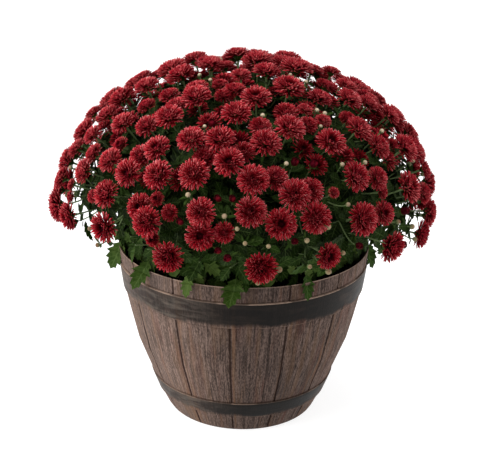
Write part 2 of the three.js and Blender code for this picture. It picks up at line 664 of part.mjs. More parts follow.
function growPlant() {
  const random = makeRandom(SEED);
  const eye = eyeFrame();
  const seen = SEEN_BLOOMS.map((row) => seenBloom(eye, random, row));
  const heads = sprays(hiddenBlooms(eye, seen, random));
  heads.forEach((spray) => {
    spray.solid = spraySolid(spray);
  });
  const stems = STEM_RINGS.flatMap((ring) =>
    Array.from({ length: ring.count }, (_, k) => makeStem(ring, k)),
  );
  const pot = planter();
  const ground = soil(stems.map((stem) => stem.hole));
  const fixed = [pot, ground, ...heads.map((head) => head.solid)];
  const partsExcept = (stem) => stems.filter((other) => other !== stem).flatMap((other) => other.parts);

  const branches = heads.map((spray) => {
    const stem = stemFor(spray, stems);
    const branch = growBranch(spray, stem, [...fixed, ...partsExcept(stem)]);
    if (branch) stem.parts.push(branch.solid);
    return { stem, branch };
  });
  stems.filter((stem) => stem.upTo < 1).forEach((stem) => {
    RIM_SHOOTS.turns.forEach((shift) => {
      const others = [...fixed, ...partsExcept(stem), ...stem.parts.slice(1)];
      stem.parts.push(...rimShoot(stem, shift, random, others));
    });
  });
  branches.filter(({ branch }) => branch).forEach(({ stem, branch }) => {
    for (let k = 0; k < LEAVES_ON_BRANCH; k += 1) {
      const own = stem.parts.filter((part) => part !== branch.solid);
      const leaf = growLeaf(branch.spine, random, [...fixed, ...partsExcept(stem), ...own]);
      if (leaf) stem.parts.push(leaf);
    }
  });
  return { pot, ground, heads, stems };
}

const plant = growPlant();
const part = new THREE.Group();
const numbered = (name, i) => `${name}_${String(i + 1).padStart(2, '0')}`;
part.add(meshOf('planter', plant.pot, COLOURS.planter));
part.add(meshOf('soil', plant.ground, COLOURS.soil));
plant.stems.forEach(({ parts }, i) => {
  part.add(meshOf(numbered('leafy_stem', i), joined(parts), COLOURS.leaf));
});
plant.heads.forEach(({ solid }, i) => {
  part.add(meshOf(numbered('bloom_spray', i), solid, COLOURS.petal));
});

export default part;
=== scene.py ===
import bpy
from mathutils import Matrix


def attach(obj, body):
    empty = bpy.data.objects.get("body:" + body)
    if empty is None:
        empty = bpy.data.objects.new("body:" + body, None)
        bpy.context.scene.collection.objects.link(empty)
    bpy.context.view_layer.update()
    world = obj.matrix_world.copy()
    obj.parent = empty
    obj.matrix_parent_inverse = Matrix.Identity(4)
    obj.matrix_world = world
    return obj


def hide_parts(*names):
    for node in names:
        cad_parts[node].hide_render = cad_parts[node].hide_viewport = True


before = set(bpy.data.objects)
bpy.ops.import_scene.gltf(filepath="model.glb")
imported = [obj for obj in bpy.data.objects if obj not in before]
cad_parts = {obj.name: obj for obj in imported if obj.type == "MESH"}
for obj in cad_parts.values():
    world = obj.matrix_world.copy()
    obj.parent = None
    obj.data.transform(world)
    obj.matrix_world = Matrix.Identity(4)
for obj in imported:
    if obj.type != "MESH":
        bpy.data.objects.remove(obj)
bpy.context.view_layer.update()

import math
from contextlib import contextmanager

import bmesh
import bpy
import numpy as np
from mathutils import Matrix, Vector, kdtree, noise

MM = 0.001

# ---------------------------------------------------------------- sizes shared with the solids, in mm

BLOOM_SEED, BEHIND_SEED, SOIL_SEED, GROWTH_SEED = 4321, 5150, 77, 909
GAP = 0.3
STAVES = 14
STAVE_PHASE = -5.6
FRONT = -90
SOIL_LEVEL = 204
RIM = 231
DOME = {"radius": 241, "rise": 183, "centre": 287}
EYE = {"distance": 1485, "aim": 148.5, "height": 23.8, "pitch": 20.8, "turn": -0.16, "roll": 0.95}
PLAN = {"across": 241, "down": 238, "squares": 1096.6, "width": 482}
HIDDEN = {"places": 430, "facing": 0.3, "radius": (15.5, 21.5), "sunk": (0, 5), "room": 0.88}
LOWEST_BLOOM = -0.12
BLOOM_TILT = 0.12
NEAR = 14
SEAM = GAP / 2 + 0.05
BLOOM_BASE = -0.42
BLOOM_CROWN = 0.34
STEM_RINGS = [
    {"count": 8, "phase": 12, "foot": 78, "crown": 130, "height": 298, "up_to": 0.62},
    {"count": 4, "phase": 35, "foot": 30, "crown": 60, "height": 350, "up_to": 1},
]
STEM = {"depth": 24, "collar": 10, "straight": 40, "knee": 0.86, "spine": 4, "smooth": 13, "sunk": 6}
STEM_GIRTHS = [3.4, 3.1, 2.8, 2.5, 2.2]
BRANCH_STARTS = [0.97, 0.88, 0.76, 0.64, 0.52]
BRANCH_SEAT = 0.4
BRANCH_RISE = 0.45
BRANCH_GIRTHS = (1.6, 0.6)  # of the solids' branches, half way and at the end
UPPER_HOOP = (175, 209)
LOWER_HOOP = (28, 51)
STAVE_ANGLE = 2 * math.pi / STAVES
FIRST_JOINT = math.radians(FRONT + STAVE_PHASE)
GOLDEN = math.pi * (3 - math.sqrt(5))  # the turn from one leaf or petal of a spiral to the next

# Blooms that show from the front: squares across, squares down, width in squares, millimetres sunk.
SEEN_BLOOMS = [
    (89, 112, 22, 0), (112, 95, 24, 0), (124, 90, 18, 8), (139, 74, 22, 0), (152, 71, 16, 4),
    (172, 69, 30, 0), (147, 86, 26, 0), (166, 87, 22, 12), (107, 115, 25, 0), (121, 121, 26, 4),
    (142, 98, 20, 12), (174, 100, 26, 10), (196, 97, 31, 0), (169, 117, 30, 0), (146, 125, 25, 2),
    (193, 54, 28, 0), (211, 63, 26, 3), (225, 60, 20, 8), (238, 54, 28, 0), (256, 56, 22, 8),
    (269, 54, 18, 4), (287, 58, 30, 0), (266, 71, 28, 0), (241, 74, 21, 2), (235, 84, 24, 9),
    (223, 86, 20, 14), (195, 82, 26, 10), (219, 76, 18, 12), (256, 98, 31, 0), (236, 112, 30, 2),
    (289, 87, 32, 0), (288, 106, 26, 11), (261, 122, 24, 9), (290, 128, 32, 0), (313, 66, 24, 5),
    (334, 68, 21, 0), (328, 78, 20, 10), (347, 85, 24, 2), (358, 92, 18, 8), (349, 99, 27, 0),
    (322, 92, 26, 9), (353, 112, 20, 12), (306, 107, 16, 4), (369, 102, 22, 2), (382, 96, 22, 0),
    (389, 115, 25, 0), (324, 119, 17, 3), (310, 120, 20, 8), (359, 129, 29, 0), (92, 134, 22, 2),
    (77, 148, 22, 0), (90, 151, 22, 6), (114, 139, 18, 12), (110, 160, 27, 0), (84, 171, 26, 0),
    (62, 178, 24, 0), (70, 184, 12, 2), (137, 152, 25, 9), (157, 148, 28, 0), (128, 173, 29, 0),
    (158, 175, 31, 0), (106, 194, 29, 0), (87, 195, 14, 8), (68, 196, 12, 4), (191, 139, 29, 0),
    (220, 139, 31, 0), (203, 153, 26, 11), (229, 162, 31, 0), (194, 174, 32, 0), (266, 143, 32, 0),
    (244, 146, 24, 13), (253, 180, 32, 0), (277, 175, 27, 10), (295, 195, 33, 0), (331, 142, 31, 0),
    (379, 146, 27, 1), (405, 148, 31, 0), (424, 169, 21, 0), (356, 177, 31, 0), (380, 177, 25, 5),
    (388, 190, 15, 9), (409, 187, 32, 0), (423, 193, 22, 0), (314, 188, 27, 10), (335, 192, 12, 3),
    (69, 216, 28, 0), (104, 227, 31, 0), (136, 206, 28, 8), (147, 222, 32, 0), (147, 241, 16, 12),
    (165, 212, 18, 12), (152, 197, 16, 12), (168, 257, 32, 0), (201, 212, 30, 0), (199, 236, 30, 5),
    (223, 233, 22, 8), (251, 212, 32, 0), (281, 224, 32, 0), (261, 268, 33, 0), (316, 218, 32, 0),
    (363, 219, 34, 0), (386, 213, 25, 4), (330, 257, 27, 4), (392, 247, 32, 0), (429, 211, 26, 0),
]

# Small unopened buds and half-open red ones: squares across, squares down, width in squares.
RED_BUDS = [
    (297, 158, 9), (317, 160, 9), (217, 197, 8), (232, 197, 8), (177, 222, 8), (217, 253, 8),
    (227, 261, 9), (297, 243, 8), (365, 248, 8), (409, 247, 9), (412, 211, 9), (211, 118, 8),
    (179, 165, 8),
]
PALE_BUDS = [
    (199, 72, 5), (210, 77, 5), (263, 113, 6), (204, 124, 5), (299, 77, 5), (307, 79, 5),
    (291, 72, 5), (318, 108, 6), (326, 111, 6), (322, 124, 5), (384, 129, 6), (344, 163, 6),
    (367, 161, 6), (287, 162, 6), (187, 194, 7), (224, 216, 7), (237, 229, 6), (245, 244, 6),
    (269, 247, 6), (280, 271, 8), (350, 204, 6), (330, 227, 7), (308, 241, 7), (345, 254, 6),
    (330, 273, 8), (311, 268, 6), (415, 227, 7), (258, 285, 6), (95, 246, 6), (87, 229, 6),
    (101, 205, 6), (401, 222, 6), (418, 240, 6),
]

# ---------------------------------------------------------------- small helpers


def make_random(seed):
    """A source of random numbers that is the same for the solids and for this scene."""
    state = [seed]

    def draw(low=0.0, high=1.0):
        state[0] = state[0] * 16807 % 2147483647
        return low + (high - low) * state[0] / 2147483647

    return draw


def vec(x, y, z):
    return np.array([x, y, z], float)


UP = vec(0, 0, 1)


def length(v):
    return float(np.sqrt(np.dot(v, v)))


def unit(v):
    return v / length(v)


def lerp(low, high, share):
    return low + (high - low) * share


def read_off(rows, share):
    return float(np.interp(share, *zip(*rows)))


def around(turn, reach, height):
    return vec(reach * math.cos(turn), reach * math.sin(turn), height)


def spoke(turn):
    """The directions outward and sideways at a turn about Z."""
    return around(turn, 1, 0), vec(math.sin(turn), -math.cos(turn), 0)


def swung(first, second, turn):
    """The first of two directions, turned towards the second."""
    return first * math.cos(turn) + second * math.sin(turn)


def square_to(axis, direction):
    """What is left of a direction without the part that runs along an axis."""
    return direction - axis * np.dot(direction, axis)


def frame_across(axis):
    helper = UP if abs(axis[2]) < 0.9 else vec(1, 0, 0)
    side = unit(np.cross(helper, axis))
    return side, unit(np.cross(axis, side))


def quadratic(a, b, c, share):
    return a * (1 - share) ** 2 + b * 2 * share * (1 - share) + c * share**2


def cubic(a, b, c, d, share):
    other = 1 - share
    return a * other**3 + b * 3 * share * other**2 + c * 3 * share**2 * other + d * share**3


def along_spine(spine, share):
    steps = len(spine) - 1
    step = min(int(share * steps), steps - 1)
    return spine[step] + (spine[step + 1] - spine[step]) * (share * steps - step)


def only(piece):
    bpy.ops.object.select_all(action="DESELECT")
    piece.select_set(True)
    bpy.context.view_layer.objects.active = piece
    return piece


@contextmanager
def editing(piece, kind="VERT"):
    """Edit mode with nothing selected."""
    only(piece)
    bpy.ops.object.mode_set(mode="EDIT")
    bpy.ops.mesh.select_mode(type=kind)
    bpy.ops.mesh.select_all(action="DESELECT")
    yield
    bpy.ops.object.mode_set(mode="OBJECT")


def select(piece, kind, test):
    """Selects the vertices, edges or faces whose middle passes a test."""
    form = bmesh.from_edit_mesh(piece.data)
    bpy.ops.mesh.select_all(action="DESELECT")
    for part in {"VERT": form.verts, "EDGE": form.edges, "FACE": form.faces}[kind]:
        if kind == "VERT":
            middle = part.co
        elif kind == "EDGE":
            middle = (part.verts[0].co + part.verts[1].co) / 2
        else:
            middle = part.calc_center_median()
        part.select_set(bool(test(middle)))
    form.select_flush(True)
    bmesh.update_edit_mesh(piece.data)


def new_piece(name, add, **settings):
    """Adds a primitive with nothing else selected and puts its place in its mesh."""
    bpy.ops.object.select_all(action="DESELECT")
    add(**settings)
    piece = bpy.context.view_layer.objects.active
    piece.name = name
    piece.data.name = name
    bpy.ops.object.transform_apply(location=True, rotation=True, scale=True)
    return piece


def put_in(name, data):
    piece = bpy.data.objects.new(name, data)
    bpy.context.scene.collection.objects.link(piece)
    return piece


def spots_of(piece):
    spots = np.empty(len(piece.data.vertices) * 3)
    piece.data.vertices.foreach_get("co", spots)
    return spots.reshape(-1, 3)


def set_spots(piece, spots):
    piece.data.vertices.foreach_set("co", np.asarray(spots, np.float32).ravel())
    piece.data.update()


def set_tint(piece, value):
    layer = piece.data.attributes.get("tint") or piece.data.attributes.new("tint", "FLOAT", "POINT")
    layer.data.foreach_set("value", np.full(len(piece.data.vertices), value, np.float32))


def scale_tint(piece, factor):
    layer = piece.data.attributes["tint"]
    values = np.empty(len(piece.data.vertices), np.float32)
    layer.data.foreach_get("value", values)
    layer.data.foreach_set("value", values * factor)


def placed(side, ahead, up, spot, size):
    """A matrix that puts a pattern's X, Y and Z along three directions."""
    turn = np.column_stack([side, ahead, up]) * np.asarray(size, float)
    return Matrix([(*row, move) for row, move in zip(turn, spot)] + [(0, 0, 0, 1)])


def copy_of(pattern, matrix, tint=None, reshape=None):
    twin = pattern.copy()
    twin.data = pattern.data.copy()
    bpy.context.scene.collection.objects.link(twin)
    if reshape:
        set_spots(twin, reshape(spots_of(twin)))
    twin.data.transform(matrix)
    if tint is not None:
        set_tint(twin, tint)
    return twin


def bending(amount):
    """A reshape that lifts a form more and more towards its tip."""

    def bend(spots):
        spots[:, 2] += amount * spots[:, 1] ** 2
        return spots

    return bend


def dress(piece, *materials):
    piece.data.materials.clear()
    for material in materials:
        piece.data.materials.append(material)


def soften(piece, degrees=None):
    """Smooth shading, everywhere or only over edges flatter than an angle."""
    only(piece)
    if degrees is None:
        bpy.ops.object.shade_smooth()
    else:
        bpy.ops.object.shade_smooth_by_angle(angle=math.radians(degrees))


def raise_rings(rows, size=MM):
    """Extrudes the selected ring along rows of (radius, height)."""
    for (reach, height), (next_reach, next_height) in zip(rows, rows[1:]):
        move = (0, 0, (next_height - height) * size)
        bpy.ops.mesh.extrude_edges_move(TRANSFORM_OT_translate={"value": move})
        scale = next_reach / reach
        bpy.ops.transform.resize(value=(scale, scale, 1))


def face_out():
    bpy.ops.mesh.select_all(action="SELECT")
    bpy.ops.mesh.normals_make_consistent(inside=False)


def join(name, pieces):
    bpy.ops.object.select_all(action="DESELECT")
    for piece in pieces:
        piece.select_set(True)
    bpy.context.view_layer.objects.active = pieces[0]
    if len(pieces) > 1:
        bpy.ops.object.join()
    pieces[0].name = name
    pieces[0].data.name = name
    return pieces[0]


def discard(*patterns):
    for pattern in patterns:
        bpy.data.objects.remove(pattern)


# ---------------------------------------------------------------- where the blooms sit

CENTRE = vec(0, 0, DOME["centre"])
SHRINK = vec(1 / DOME["radius"], 1 / DOME["radius"], 1 / DOME["rise"])


def on_ball(spot):
    return (spot - CENTRE) * SHRINK


def on_dome(ball):
    return ball / SHRINK + CENTRE


def dome_normal(spot):
    return unit(on_ball(spot) * SHRINK)


def eye_frame():
    height, pitch, turn, roll = (math.radians(EYE[k]) for k in ("height", "pitch", "turn", "roll"))
    spot = UP * EYE["aim"] + swung(vec(0, -1, 0), UP, height) * EYE["distance"]
    ahead = vec(math.sin(turn) * math.cos(pitch), math.cos(turn) * math.cos(pitch), -math.sin(pitch))
    level = unit(np.cross(ahead, UP))
    upright = np.cross(level, ahead)
    right, up = swung(level, upright, roll), swung(upright, -level, roll)
    return {"spot": spot, "ahead": ahead, "right": right, "up": up}


def seen_spot(eye, across, down):
    """Where the line of sight through a square of the plan meets the dome, and how far off."""
    sight = eye["ahead"] + eye["right"] * ((across - PLAN["across"]) / PLAN["squares"])
    sight = sight + eye["up"] * ((PLAN["down"] - down) / PLAN["squares"])
    start = on_ball(eye["spot"])
    along = sight * SHRINK
    half = np.dot(start, along) / np.dot(along, along)
    inside = half * half - (np.dot(start, start) - 1) / np.dot(along, along)
    depth = -half - math.sqrt(max(inside, 0))
    return on_dome(unit(start + along * depth)), depth


def bloom_at(spot, radius, sunk, draw):
    normal = dome_normal(spot)
    side, other = frame_across(normal)
    axis = normal + side * draw(-BLOOM_TILT, BLOOM_TILT)
    axis = unit(axis + other * draw(-BLOOM_TILT, BLOOM_TILT))
    return {"centre": spot - normal * sunk, "axis": axis, "radius": radius, "spin": draw(0, math.pi)}


def dome_place(i, count, reach, turned=0):
    """Place i of a spiral that runs down the dome from its top, and its height on the ball."""
    height = 1 - (i + 0.5) / count * reach
    return on_dome(around(i * GOLDEN + turned, math.sqrt(1 - height * height), height)), height


def faces_away(spot, eye):
    return np.dot(dome_normal(spot), unit(eye["spot"] - spot)) < HIDDEN["facing"]


def has_room(spot, radius, share, blooms):
    return all(length(b["centre"] - spot) > share * (b["radius"] + radius) for b in blooms)


def all_blooms(eye):
    draw = make_random(BLOOM_SEED)
    blooms = []
    for across, down, width, sunk in SEEN_BLOOMS:
        spot, depth = seen_spot(eye, across, down)
        blooms.append(bloom_at(spot, width * depth / PLAN["squares"] / 2, sunk, draw))
    for i in range(HIDDEN["places"]):
        spot, _ = dome_place(i, HIDDEN["places"], 1 - LOWEST_BLOOM)
        radius = draw(*HIDDEN["radius"])
        if faces_away(spot, eye) and has_room(spot, radius, HIDDEN["room"], blooms):
            blooms.append(bloom_at(spot, radius, draw(*HIDDEN["sunk"]), draw))
    return blooms


def part_plane(bloom, other):
    """Direction to a neighbour, and how far off the plane is that parts the two."""
    apart = other["centre"] - bloom["centre"]
    distance = length(apart)
    return apart / distance, distance * bloom["radius"] / (bloom["radius"] + other["radius"])


def keep_own_side(points, bloom, play):
    """Draws points in towards a bloom's middle until they are clear of every neighbour."""
    for other in bloom["near"]:
        ahead, own = part_plane(bloom, other)
        out = (points - bloom["centre"]) @ ahead
        past = out > own - play
        scale = np.where(past, (own - play) / np.maximum(out, 1e-9), 1)
        points = bloom["centre"] + (points - bloom["centre"]) * scale[:, None]
    return points


def corner_tree(objects):
    corners = [(corner / MM, i) for i, piece in enumerate(objects) for corner in spots_of(piece)]
    tree = kdtree.KDTree(len(corners))
    for k, (corner, _) in enumerate(corners):
        tree.insert(corner, k)
    tree.balance()
    return tree, [i for _, i in corners]


def gather_sprays(blooms):
    """The solids' sprays of blooms, each with the blooms whose crown is one of its corners."""
    names = sorted(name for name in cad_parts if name.startswith("bloom_spray"))
    tree, owners = corner_tree([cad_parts[name] for name in names])
    sprays = [{"name": name, "blooms": [], "behind": []} for name in names]
    for bloom in blooms:
        centre, axis, radius = (bloom[key] for key in ("centre", "axis", "radius"))
        bloom["near"] = [
            b for b in blooms
            if b is not bloom and length(b["centre"] - centre) < b["radius"] + radius + NEAR
        ]
        ends = np.array([centre + axis * radius * share for share in (BLOOM_BASE, BLOOM_CROWN)])
        bloom["base"], bloom["crown"] = keep_own_side(ends, bloom, SEAM)
        _, corner, _ = tree.find(bloom["crown"])
        sprays[owners[corner]]["blooms"].append(bloom)
    return sprays


# ---------------------------------------------------------------- where the stems run


def make_stem(ring, k):
    turn = math.radians(FRONT + ring["phase"] + 360 * k / ring["count"])

    def foot(height):
        return around(turn, ring["foot"], SOIL_LEVEL + height)

    crown = around(turn, ring["crown"], ring["height"])
    knee = around(turn, ring["crown"] * STEM["knee"], ring["height"] - STEM["straight"])
    ends = (foot(STEM["collar"]), foot(STEM["straight"]), knee, crown)
    root = foot(GAP - STEM["depth"])
    spine, smooth = (
        [cubic(*ends, share) for share in np.linspace(0, 1, STEM[key])] for key in ("spine", "smooth")
    )
    stem = {key: [] for key in ("shoots", "low", "buds", "leaves", "bracts", "hung")}
    smooth = [root, foot(-STEM["sunk"])] + smooth
    stem.update(turn=turn, up_to=ring["up_to"], spine=[root] + spine, smooth=smooth)
    return stem


def stem_for(spray, stems):
    ball = unit(on_ball(sum(b["centre"] for b in spray["blooms"]) / len(spray["blooms"])))
    ring = min(stem["up_to"] for stem in stems if stem["up_to"] >= ball[2])
    own = [stem for stem in stems if stem["up_to"] == ring]
    return max(own, key=lambda stem: np.dot(around(stem["turn"], 1, 0), ball))


def find_branch(spray, stem):
    """The branch of the solid that carries a spray: its bloom and where on the stem it starts."""
    best = None
    for bloom in spray["blooms"]:
        down = unit(bloom["centre"] - bloom["crown"])
        end = bloom["base"] + down * BRANCH_SEAT
        for start in BRANCH_STARTS:
            root = along_spine(stem["spine"], start)
            bend = end + down * (BRANCH_RISE * length(end - root))
            places = zip((quadratic(root, bend, end, 0.5), end), BRANCH_GIRTHS)
            miss = sum(abs(stem["tree"].find(spot)[2] - girth) for spot, girth in places)
            if best is None or miss < best[0]:
                best = (miss, bloom, root, bend, end)
    return best


# ---------------------------------------------------------------- colours


def shade(red, green, blue):
    """A colour as seen, from 0 to 255, as the linear values that the shader takes."""
    return tuple(
        part / 255 / 12.92 if part <= 10 else ((part / 255 + 0.055) / 1.055) ** 2.4
        for part in (red, green, blue)
    )


# Dark core and root colours, laid on as painted shade deep in the bloom.
PETAL_CORE = shade(48, 4, 13)
PETAL_ROOT = shade(40, 2, 7)
PETAL_DEEP = shade(94, 1, 10)
PETAL_MIDDLE = shade(174, 2, 28)
PETAL_TIP = shade(212, 22, 46)
# Pale edge colours for the petals' face and underside, laid on as painted highlights.
PETAL_EDGE_HIGHLIGHT = shade(252, 170, 168)
PETAL_WINE = shade(112, 3, 32)
UNDER_ROOT = shade(84, 12, 20)
UNDER_TIP = shade(150, 22, 38)
UNDER_EDGE_HIGHLIGHT = shade(238, 128, 124)
LEAF_DARK = shade(8, 15, 3)
LEAF_GREEN = shade(35, 57, 12)
LEAF_PALE = shade(98, 118, 58)
LEAF_VEIN = shade(88, 108, 58)
STEM_GREEN = shade(70, 88, 52)
STEM_PALE = shade(110, 128, 84)
STEM_WOOD = shade(74, 62, 40)
BUD_GREEN = shade(66, 88, 46)
BUD_LIGHT = shade(112, 114, 78)
BUD_CREAM = shade(150, 131, 101)
BUD_PALE = shade(212, 192, 166)
BUD_BROWN = shade(112, 82, 58)
SOIL_DARK = shade(16, 11, 8)
SOIL_BROWN = shade(34, 25, 18)
SOIL_LIGHT = shade(62, 48, 36)
SOIL_STRAW = shade(98, 78, 56)
WOOD_DARK = shade(26, 19, 16)
WOOD_TAUPE = shade(66, 53, 47)
WOOD_LIGHT = shade(128, 107, 98)
# Painted light for the side of the planter that faces the key lamp.
WOOD_LIT = shade(150, 128, 116)
WOOD_OCHRE = shade(112, 82, 56)
WOOD_RED = shade(90, 52, 42)
WOOD_GREY = shade(52, 48, 48)
JOINT_BROWN = shade(38, 22, 16)
EDGE_PALE = shade(160, 136, 120)
HOOP_BLACK = shade(9, 8, 7)
HOOP_CHARCOAL = shade(18, 15, 12)
HOOP_BROWN = shade(56, 45, 38)
HOOP_BLUE = shade(34, 38, 40)
# A painted reflection of the bright surroundings, for the hoops' lit side.
HOOP_SHEEN = shade(104, 100, 92)


# ---------------------------------------------------------------- finishes


class Signal:
    """A number that varies over a surface. Sums and products of it add Math nodes."""

    def __init__(self, finish, socket):
        self.finish = finish
        self.socket = socket

    def __add__(self, other):
        return self.finish.math("ADD", self, other)

    def __sub__(self, other):
        return self.finish.math("SUBTRACT", self, other)

    def __rsub__(self, other):
        return self.finish.math("SUBTRACT", other, self)

    def __mul__(self, other):
        return self.finish.math("MULTIPLY", self, other)

    def __truediv__(self, other):
        return self.finish.math("DIVIDE", self, other)

    def __abs__(self):
        return self.finish.math("ABSOLUTE", self)

    __radd__ = __add__
    __rmul__ = __mul__


class Finish:
    """A procedural material for one kind of surface."""

    def __init__(self, name, **constants):
        self.material = bpy.data.materials.new(name)
        self.material.use_nodes = True
        self.tree = self.material.node_tree
        self.shader = next(node for node in self.tree.nodes if node.type == "BSDF_PRINCIPLED")
        for socket, value in constants.items():
            self.shader.inputs[socket.replace("_", " ")].default_value = value

    def node(self, kind, settings=None, sockets=None):
        node = self.tree.nodes.new("ShaderNode" + kind)
        for key, value in (settings or {}).items():
            if key == "stops":
                while len(node.color_ramp.elements) < len(value):
                    node.color_ramp.elements.new(1)
                for stop, (place, colour) in zip(node.color_ramp.elements, value):
                    stop.position = place
                    stop.color = (*colour, 1)
            else:
                setattr(node, key, value)
        for key, value in (sockets or {}).items():
            self.feed(node.inputs[key], value)
        return node

    def feed(self, socket, value):
        value = value.socket if isinstance(value, Signal) else value
        if isinstance(value, bpy.types.NodeSocket):
            self.tree.links.new(value, socket)
        elif isinstance(value, tuple) and socket.type == "RGBA":
            socket.default_value = (*value, 1)
        else:
            socket.default_value = value

    def math(self, operation, *values):
        node = self.node("Math", {"operation": operation}, dict(enumerate(values)))
        return Signal(self, node.outputs[0])

    def vector(self, operation, *values):
        return self.node("VectorMath", {"operation": operation}, dict(enumerate(values))).outputs[0]

    def place(self):
        return self.node("TexCoord").outputs["Object"]

    def own_place(self):
        """Across and along a petal, leaf or bud, each from 0 to 1."""
        return self.split(self.node("UVMap", {"uv_map": "UVMap"}).outputs[0])[:2]

    def stretched(self, place, x, y, z):
        return self.vector("MULTIPLY", place, (x, y, z))

    def split(self, vector):
        parts = self.node("SeparateXYZ", None, {0: vector}).outputs
        return [Signal(self, part) for part in parts]

    def noise(self, place, scale, detail=2.0, roughness=0.5, distortion=0.0):
        sockets = {"Vector": place, "Scale": scale, "Detail": detail, "Roughness": roughness}
        node = self.node("TexNoise", None, {**sockets, "Distortion": distortion})
        return Signal(self, node.outputs["Fac"])

    def smooth(self, value, low, high):
        """Nought below low, one above high and a soft step between."""
        settings = {"interpolation_type": "SMOOTHSTEP"}
        node = self.node("MapRange", settings, {"Value": value, "From Min": low, "From Max": high})
        return Signal(self, node.outputs["Result"])

    def mix(self, share, first, second):
        return self.node("Mix", {"data_type": "RGBA"}, {0: share, 6: first, 7: second}).outputs[2]

    def layers(self, colour, *layers):
        """A colour with others laid over it in turn, each as (share, colour)."""
        for share, over in layers:
            colour = self.mix(share, colour, over)
        return colour

    def ramp(self, value, *stops):
        return self.node("ValToRGB", {"stops": stops}, {0: value}).outputs[0]

    def attribute(self, name):
        return Signal(self, self.node("Attribute", {"attribute_name": name}).outputs["Fac"])

    def surface(self, colour, roughness, height=None, distance=0.0, strength=0.0):
        """Colour and roughness, with a bump whose distance is in millimetres."""
        self.feed(self.shader.inputs["Base Color"], colour)
        self.feed(self.shader.inputs["Roughness"], roughness)
        if height is not None:
            sockets = {"Strength": strength, "Distance": distance * MM, "Height": height}
            self.feed(self.shader.inputs["Normal"], self.node("Bump", None, sockets).outputs[0])
        return self.material


def petal_finish(name, along_it, edge, highlight_share):
    """Darker at the root and along the fold, as painted shade between the petals, with paler edges and
    tips as painted highlights. Petals of low tint are a bloom's dark middle, painted as shade.
    """
    finish = Finish(name, Specular_IOR_Level=0.03)
    across, along = finish.own_place()
    aside = abs(across - 0.5)
    tint = finish.attribute("tint")
    own = finish.math("FRACT", tint * 53)  # each petal's own number
    veins = finish.noise(finish.place(), 900, 2)
    side = finish.smooth(aside, 0.24, 0.44) * finish.smooth(along, 0.3, 0.72)
    end = finish.smooth(along, 0.72, 0.96)
    # painted shade in the crease along the middle of each petal
    fold = 1 - finish.smooth(aside, 0.02, 0.26)
    # painted highlights on the edges and tips, strongest on the lighter petals
    pale = finish.math("MAXIMUM", side, end) * (0.2 + 0.9 * veins) * finish.smooth(tint, 0.15, 0.9)
    pale = finish.math("MINIMUM", pale * (0.4 + 1.4 * own * own), 1)
    patch = finish.smooth(finish.noise(finish.place(), 60, 2), 0.5, 0.75)
    colour = finish.layers(
        finish.ramp(along * 0.95 + tint * 0.5 - 0.25, *zip((0.0, 0.34, 0.68, 1.0), along_it)),
        (fold * 0.5 * (1.1 - end), along_it[1]),
        (pale * highlight_share, edge),
        # the dark middle: painted shade in the bloom's hollow
        (1 - finish.smooth(tint, 0.04, 0.3), PETAL_CORE),
        (patch * 0.3, PETAL_WINE),
    )
    return finish.surface(colour, 0.72 - 0.12 * veins, veins, distance=0.2, strength=0.4)


def leaf_finish():
    """Deep green with a paler rib and side veins."""
    finish = Finish("chrysanthemum leaf", Specular_IOR_Level=0.06)
    across, along = finish.own_place()
    tint = finish.attribute("tint")
    aside = abs(across - 0.5) * 2
    rib = 1 - finish.smooth(aside, 0.02, 0.12)
    wave = finish.math("FRACT", (along - aside * 0.16) * 6.5)
    side_veins = 1 - finish.smooth(abs(wave - 0.5), 0.03, 0.13)
    veins = finish.math("MAXIMUM", rib, side_veins * 0.6)
    mottle = finish.noise(finish.place(), 260, 3)
    # The tint carries painted shade and light: low for leaves deep in the plant, high for those in the
    # light.
    stops = ((0.15, LEAF_DARK), (0.55, LEAF_GREEN), (0.95, LEAF_PALE))
    colour = finish.mix(veins * 0.45, finish.ramp(tint * 0.75 + mottle * 0.25, *stops), LEAF_VEIN)
    return finish.surface(colour, 0.5 + 0.18 * mottle, mottle - veins * 0.6, distance=0.4, strength=0.6)


def stem_finish():
    """Green with paler fibres, and woody near the soil."""
    finish = Finish("chrysanthemum stem", Specular_IOR_Level=0.1)
    _, _, height = finish.split(finish.place())
    fibre = finish.noise(finish.stretched(finish.place(), 1, 1, 0.2), 700, 2)
    woody = 1 - finish.smooth(height + fibre * 0.03, 0.215, 0.29)
    colour = finish.mix(woody, finish.mix(fibre, STEM_GREEN, STEM_PALE), STEM_WOOD)
    return finish.surface(colour, 0.62, fibre, distance=0.3, strength=0.5)


def bud_finish():
    """Green scales below and the cream or brownish pink of unopened petals at the top, painted paler
    high on the plant as painted light.
    """
    finish = Finish("flower bud", Specular_IOR_Level=0.15)
    across, along = finish.own_place()
    _, _, height = finish.split(finish.place())
    scales = abs(finish.math("FRACT", across * 7) - 0.5) * 2
    brown = finish.smooth(finish.attribute("tint") + finish.noise(finish.place(), 500, 1), 0.5, 1.25)
    # painted light: buds high on the plant are painted paler
    painted_light_above = finish.smooth(height, 0.3, 0.42) * 0.75
    top = finish.layers(BUD_CREAM, (brown, BUD_BROWN), (painted_light_above, BUD_PALE))
    low = finish.mix(finish.smooth(along + scales * 0.2, 0.35, 0.62), BUD_GREEN, BUD_LIGHT)
    colour = finish.mix(finish.smooth(along + scales * 0.24, 0.62, 0.9), low, top)
    return finish.surface(colour, 0.6, scales, distance=0.6, strength=0.7)


